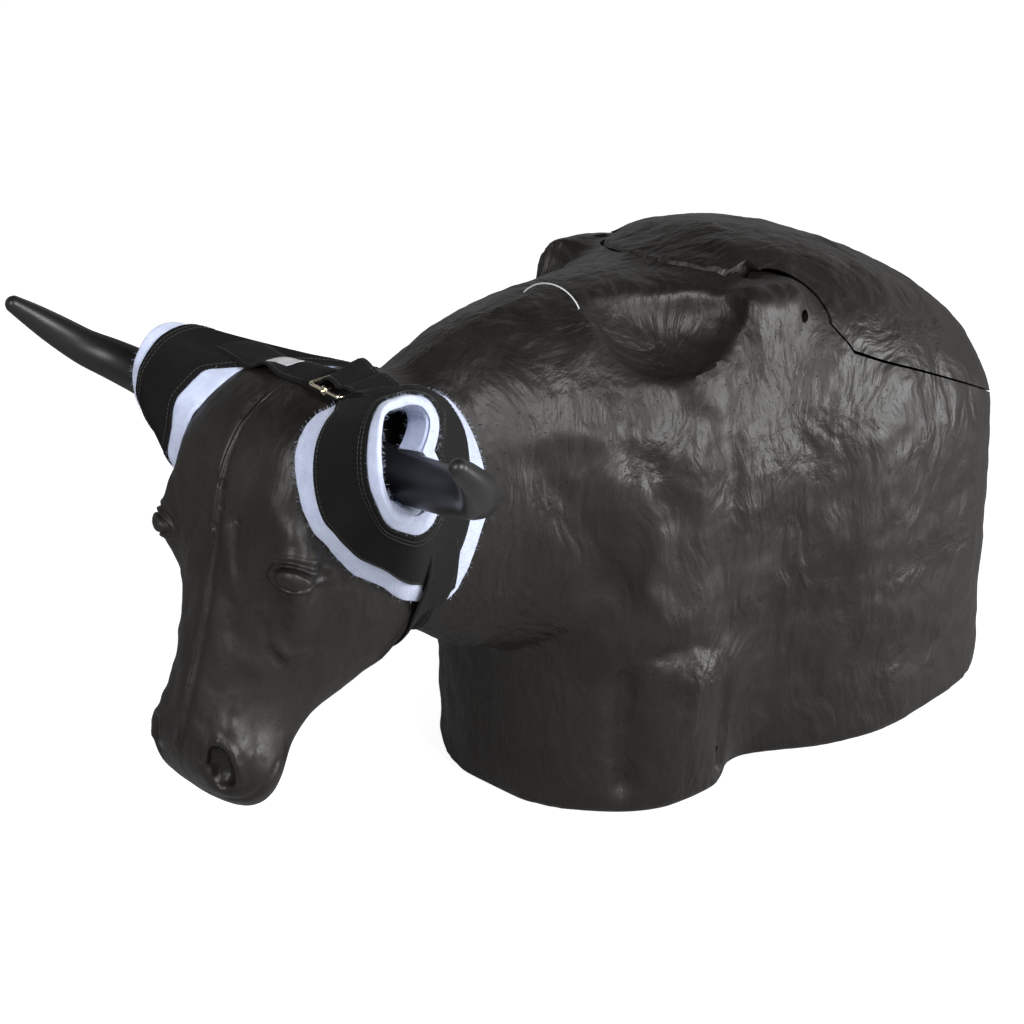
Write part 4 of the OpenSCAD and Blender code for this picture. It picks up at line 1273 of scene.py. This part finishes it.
# %% Plastic
blotch = spot.noise(7, 4, .6)
put(Base_Color=blotch.between(.3, .7).mix(grey(.007, 1.25), grey(.013, 1.15)),
    Roughness=(blotch + hair * .3).between(.4, .9, .38, .50),
    Normal=spot.make("Bump", {"Strength": 1.0, "Distance": .0048,
                              "Height": coat * (hair * .6 + tufts * 1.2) + ridge * .25 - (pits + marks) * .25}))
put(Specular_IOR_Level=.4)
print("plastic:", len(plastic.node_tree.nodes), "nodes")

# %% Horn plastic, smoother and as black
horn_paint, spot, put = material("horn_plastic")
grain = spot.stretched((60, 14, 60)).noise(14, 3, .6)
put(Base_Color=grain.between(.3, .7).mix(grey(.008, 1.05), grey(.013, 1.03)), Roughness=.38,
    Normal=spot.make("Bump", {"Strength": .12, "Distance": .001, "Height": grain}))

# %% [markdown]
# ## Felt and webbing
# White felt clips to a flat white in a photo. Here it is a cold pale grey that clouds a little, fully rough, with
# some sheen from its fuzz. The webbing is dull black: its ribs are in the mesh, so only threads and dust are left.

# %% Felt
felt_paint, spot, put = material("pressed_felt")
fibre = spot.noise(900, 3, .7)
cloud = spot.noise(60, 4, .6)
put(Base_Color=cloud.between(.3, .7).mix((.57, .63, .84, 1), (.66, .73, .94, 1)), Roughness=.95,
    Normal=spot.make("Bump", {"Strength": .6, "Distance": .0006, "Height": fibre + cloud * 2}))
put(Sheen_Weight=.35, Sheen_Roughness=.6, Specular_IOR_Level=.15)

# %% Webbing
webbing_paint, spot, put = material("black_webbing")
threads = spot.noise(1500, 2, .6)
dust = spot.noise(400, 4, .7)
put(Base_Color=dust.between(.62, .8).mix(grey(.004), grey(.010)), Roughness=.8,
    Normal=spot.make("Bump", {"Strength": .5, "Distance": .0004, "Height": threads}))
put(Sheen_Weight=.03, Specular_IOR_Level=.2)

# %% [markdown]
# ## Small parts
# Worn metal is a little rougher in some places than in others, which one noise gives to colour and gloss alike.
# The rod and the bolts are zinc plated, the bushes are white plastic, the label is plain cloth and the cord is clear.

# %% Metals
gold, spot, put = material("pale_gold_wire")
wear = spot.noise(260, 3, .6)
put(Base_Color=wear.between(.35, .7).mix((.78, .66, .50, 1), (.86, .78, .64, 1)), Metallic=1.0,
    Roughness=wear.between(.3, .8, .16, .32))
zinc, spot, put = material("zinc_plate")
wear = spot.noise(180, 4, .6)
put(Base_Color=wear.between(.3, .7).mix(grey(.50), grey(.62)), Metallic=1.0, Roughness=wear.between(.3, .8, .3, .45))

# %% Bushes, label and cord
bush_paint, spot, put = material("bush_plastic")
put(Base_Color=spot.noise(120, 3, .5).between(.3, .7).mix(grey(.66), grey(.74)), Roughness=.45)
label_paint, spot, put = material("label_cloth")
weave = spot.noise(1600, 2, .5)
put(Base_Color=weave.between(.3, .7).mix((.55, .55, .58, 1), (.68, .68, .71, 1)), Roughness=.8,
    Normal=spot.make("Bump", {"Strength": .4, "Distance": .0003, "Height": weave}))
cord_paint, spot, put = material("clear_cord")
put(Base_Color=(.62, .64, .64, 1), Roughness=.2, Alpha=.85)

# %% Thread
thread, spot, put = material("black_thread")
twist = spot.noise(2600, 2, .5)
put(Base_Color=twist.between(.3, .7).mix(grey(.020), grey(.050)), Roughness=.55,
    Normal=spot.make("Bump", {"Strength": .5, "Distance": .0002, "Height": twist}))

# %% [markdown]
# ## Stitches and loose fibres
# The webbing is sewn down with rows of short stitches, and loose fibres stand up from the felt's rims. Both repeat,
# so Geometry Nodes place them. The seam tree turns a line into points and lays one short thread on each. The fuzz
# tree scatters bent fibres over the bare felt. Particles could do it too, but they leave no mesh.


# %% Node tree helper
def grow_tree(name, inputs, build):
    """A Geometry Nodes tree: inputs are names with defaults, and build gets a maker and the input sockets."""
    tree = bpy.data.node_groups.new(name, "GeometryNodeTree")
    tree.interface.new_socket("Geometry", in_out="INPUT", socket_type="NodeSocketGeometry")
    tree.interface.new_socket("Geometry", in_out="OUTPUT", socket_type="NodeSocketGeometry")
    for key, value in inputs.items():
        kind = "NodeSocketInt" if isinstance(value, int) else "NodeSocketFloat"
        tree.interface.new_socket(key, in_out="INPUT", socket_type=kind).default_value = value
    entry, leave = tree.nodes.new("NodeGroupInput"), tree.nodes.new("NodeGroupOutput")

    def make(kind, settings=None, **links):
        item = tree.nodes.new(kind)
        for key, value in (settings or {}).items():
            setattr(item, key, value)
        for key, value in links.items():
            socket = item.inputs[key.replace("_", " ")]
            if isinstance(value, bpy.types.NodeSocket):
                tree.links.new(value, socket)
            else:
                socket.default_value = value
        return item.outputs
    tree.links.new(build(make, entry.outputs), leave.inputs[0])
    print(name, "with", len(tree.nodes), "nodes")
    return tree


# %% Running a tree
def run_tree(piece, tree, **values):
    """Sets the inputs by their identifiers, makes the result a plain mesh and removes the modifier."""
    step = piece.modifiers.new("nodes", "NODES")
    step.node_group = tree
    for item in tree.interface.items_tree:
        if item.in_out == "INPUT" and item.name in values:
            step[item.identifier] = values[item.name]
    bake(piece)
    print(piece.name, len(piece.data.polygons), "faces")
    return piece


# %% Stitches
def build_stitches(make, given):
    curve_line = make("GeometryNodeMeshToCurve", Mesh=given["Geometry"])["Curve"]
    dots = make("GeometryNodeCurveToPoints", {"mode": "LENGTH"}, Curve=curve_line, Length=given["Pitch"])
    one = make("GeometryNodeMeshCylinder", Vertices=6, Radius=given["Radius"], Depth=given["Length"])["Mesh"]
    many = make("GeometryNodeInstanceOnPoints", Points=dots["Points"], Instance=one, Rotation=dots["Rotation"])
    real = make("GeometryNodeRealizeInstances", Geometry=many["Instances"])["Geometry"]
    return make("GeometryNodeSetMaterial", Geometry=real, Material=thread)["Geometry"]


stitch_pitch, stitch_length = .0046, .0032
stitch_tree = grow_tree("stitch_tree", {"Pitch": stitch_pitch, "Length": stitch_length, "Radius": .0004},
                        build_stitches)

# %% Seams of the cones
for side in ("left", "right"):
    angles = np.arange(0, 360, 1.2)
    for share in ((hem + 5) / cone_run, 1 - (cuff_lip + 5) / cone_run, 1 - (cuff_lip + 9) / cone_run):
        row = [(share, .4 + webbing_t + .25, max(0, 1 - 2 * share), 0)]
        grid = wrap_grid(angles, row, side, bare[side])
        points = cover_ripple(grid, angles, np.array(row))[:, 0]
        points = points * ((1, -1, 1) if side == "left" else (1, 1, 1))
        runs = [[]]
        for p in points:
            hit, normal, _, _ = head_tree.find_nearest(Vector(p) / 1000)
            if (Vector(p) / 1000 - hit).dot(normal) > .002:
                runs[-1].append(p)
            elif runs[-1]:
                runs.append([])
        seams.extend(np.array(run) for run in runs if len(run) > 4)
print(len(seams), "seams")

# %% Stitches along all seams
seam_points, seam_edges = np.concatenate(seams), []
for line in seams:
    first = seam_edges[-1][1] + 1 if seam_edges else 0
    seam_edges += [(first + k, first + k + 1) for k in range(len(line) - 1)]
seam_mesh = bpy.data.meshes.new("seams")
seam_mesh.from_pydata((seam_points / 1000).tolist(), seam_edges, [])
stitches = bpy.data.objects.new("thread_stitches", seam_mesh)
scene.collection.objects.link(stitches)
run_tree(stitches, stitch_tree, Pitch=stitch_pitch, Length=stitch_length)


# %% Felt fibres
def build_fuzz(make, given):
    dots = make("GeometryNodeDistributePointsOnFaces", Mesh=given["Geometry"], Density=given["Density"],
                Seed=given["Seed"])
    bend = make("GeometryNodeCurveQuadraticBezier", Resolution=4, Start=(0, 0, -.0005), Middle=(.0002, .0006, .0022),
                End=(.0012, .0026, .0032))["Curve"]
    ring = make("GeometryNodeCurvePrimitiveCircle", Resolution=3, Radius=given["Radius"])["Curve"]
    one = make("GeometryNodeCurveToMesh", Curve=bend, Profile_Curve=ring)["Mesh"]
    turn = make("FunctionNodeRandomValue", {"data_type": "FLOAT_VECTOR"}, Min=(-1.1, -1.1, -3.1), Max=(1.1, 1.1, 3.1),
                Seed=given["Seed"])["Value"]
    spun = make("FunctionNodeRotateRotation", {"rotation_space": "LOCAL"}, Rotation=dots["Rotation"],
                Rotate_By=turn)["Rotation"]
    many = make("GeometryNodeInstanceOnPoints", Points=dots["Points"], Instance=one, Rotation=spun)
    real = make("GeometryNodeRealizeInstances", Geometry=many["Instances"])["Geometry"]
    return make("GeometryNodeSetMaterial", Geometry=real, Material=felt_paint)["Geometry"]


fuzz_density, first_seed = 60000.0, 5
fuzz_tree = grow_tree("fuzz_tree", {"Density": fuzz_density, "Radius": .00009, "Seed": first_seed}, build_fuzz)

# %% Fibres only where the felt is bare: on the hem, up to profile row 12, and on the rim, from row 26
last_hem_row, first_rim_row, fuzz_pieces = 12, 26, []
shade = surface_tree(body, throat_piece, crown_piece, *cover_pieces.values(), *felt_pieces.values())
for number, side in enumerate(("left", "right")):
    fuzz = copied(felt_pieces[side], side + "_felt_fibres")
    made = bmesh.new()
    made.from_mesh(fuzz.data)
    layer, rows = made.loops.layers.uv.active, len(felt_profile())
    hidden = [f for f in made.faces
              if last_hem_row < sum(c[layer].uv.y for c in f.loops) / len(f.loops) * rows < first_rim_row
              or shade.ray_cast(f.calc_center_median() + f.normal * .0006, f.normal, .025)[0]]
    bmesh.ops.delete(made, geom=hidden, context="FACES")
    made.to_mesh(fuzz.data)
    made.free()
    fuzz_pieces.append(run_tree(fuzz, fuzz_tree, Density=fuzz_density, Seed=first_seed + number))


# %% [markdown]
# ## Who wears what
# Each piece rides on the body that carries it, so it moves with the lid or the buckle. It names the CAD nodes
# that it stands for. Nodes that no piece replaces only get a material.

# %% Dress helper
def dress(piece, paint, carrier, slot, *replaced):
    piece.data.materials.clear()
    piece.data.materials.append(paint)
    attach(piece, carrier)
    if replaced:
        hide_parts(*replaced)
    print(piece.name, "rides on", carrier, "for", *replaced or ["no node"])


# %% Last joins
for item in (frame_wire, *eyes, bar_wire, tag_piece):
    smooth(item)
for helper in (near_head, skin):
    bpy.data.objects.remove(helper)
for extra in eyes:
    carve(frame_wire, "UNION", extra)
print("buckle frame with its eyes:", len(frame_wire.data.polygons), "faces")

# %% Dress the plastic
dress(body, plastic, "dummy", "body_plastic", "body_shell")
dress(lid, plastic, "lid", "body_plastic", "rump_lid")
for horn, node in ((left_horn, "left_horn"), (right_horn, "right_horn")):
    dress(horn, horn_paint, "dummy", "horn_plastic", node)

# %% Dress the wraps
for side in ("left", "right"):
    dress(felt_pieces[side], felt_paint, "dummy", "felt", side + "_felt_liner")
    dress(cover_pieces[side], webbing_paint, "dummy", "black_webbing", side + "_webbing_cover")
for strap, node in ((crown_piece, "crown_strap"), (throat_piece, "throat_strap"), (tail_piece, "buckle_strap")):
    dress(strap, webbing_paint, "dummy", "black_webbing", node)
dress(stitches, thread, "dummy", "black_webbing")
for fuzz in fuzz_pieces:
    dress(fuzz, felt_paint, "dummy", "felt")

# %% Dress the small parts
dress(frame_wire, gold, "buckle", "buckle_metal", "buckle_frame")
dress(bar_wire, gold, "dummy", "buckle_metal", "buckle_bar")
dress(label_piece, label_paint, "dummy", "label_cloth", "crown_label")
dress(tag_piece, cord_paint, "dummy", "clear_cord", "tag_loop")
for paint, names in ((zinc, ("hinge_rod", "rod_washers", "horn_bolts", "horn_washers")),
                     (bush_paint, ("left_hinge_bush", "right_hinge_bush", "left_lid_bush", "right_lid_bush"))):
    for node in names:
        nodes[node].data.materials.clear()
        nodes[node].data.materials.append(paint)
        print(node, "wears", paint.name)

# %% [markdown]
# ## Cloth and cord
# The area of each piece of felt, webbing and label is printed beside the size that it has when it lies flat, and the
# tag loop's length of cord is printed. A cone is cut to shape from its blank, so its own area is given beside the
# blank's size.


# %% Sheets and cord
def cloth_area(piece):
    """Half of the skin of a thin closed piece."""
    return sum(face.area for face in piece.data.polygons) / 2


sheets = ((felt_pieces["left"], (.15, .62)), (felt_pieces["right"], (.15, .62)),
          (cover_pieces["left"], (.105, .60)), (cover_pieces["right"], (.105, .60)), (crown_piece, (.051, .26)),
          (throat_piece, (.051, .48)), (tail_piece, (.051, .10)), (label_piece, (.022, .031)))
for piece, flat in sheets:
    area = cloth_area(piece)
    print(piece.name, "cloth area", round(area, 4), "of", round(flat[0] * flat[1], 4))
    min(area, flat[0] * flat[1]) if "cone" in piece.name else None
tag_path[0] / 1000
2 * tag_half * radius / 1000
[p / 1000 for p in tag_path]
print("tag cord", round(2 * tag_half * radius / 1000, 4), "m")
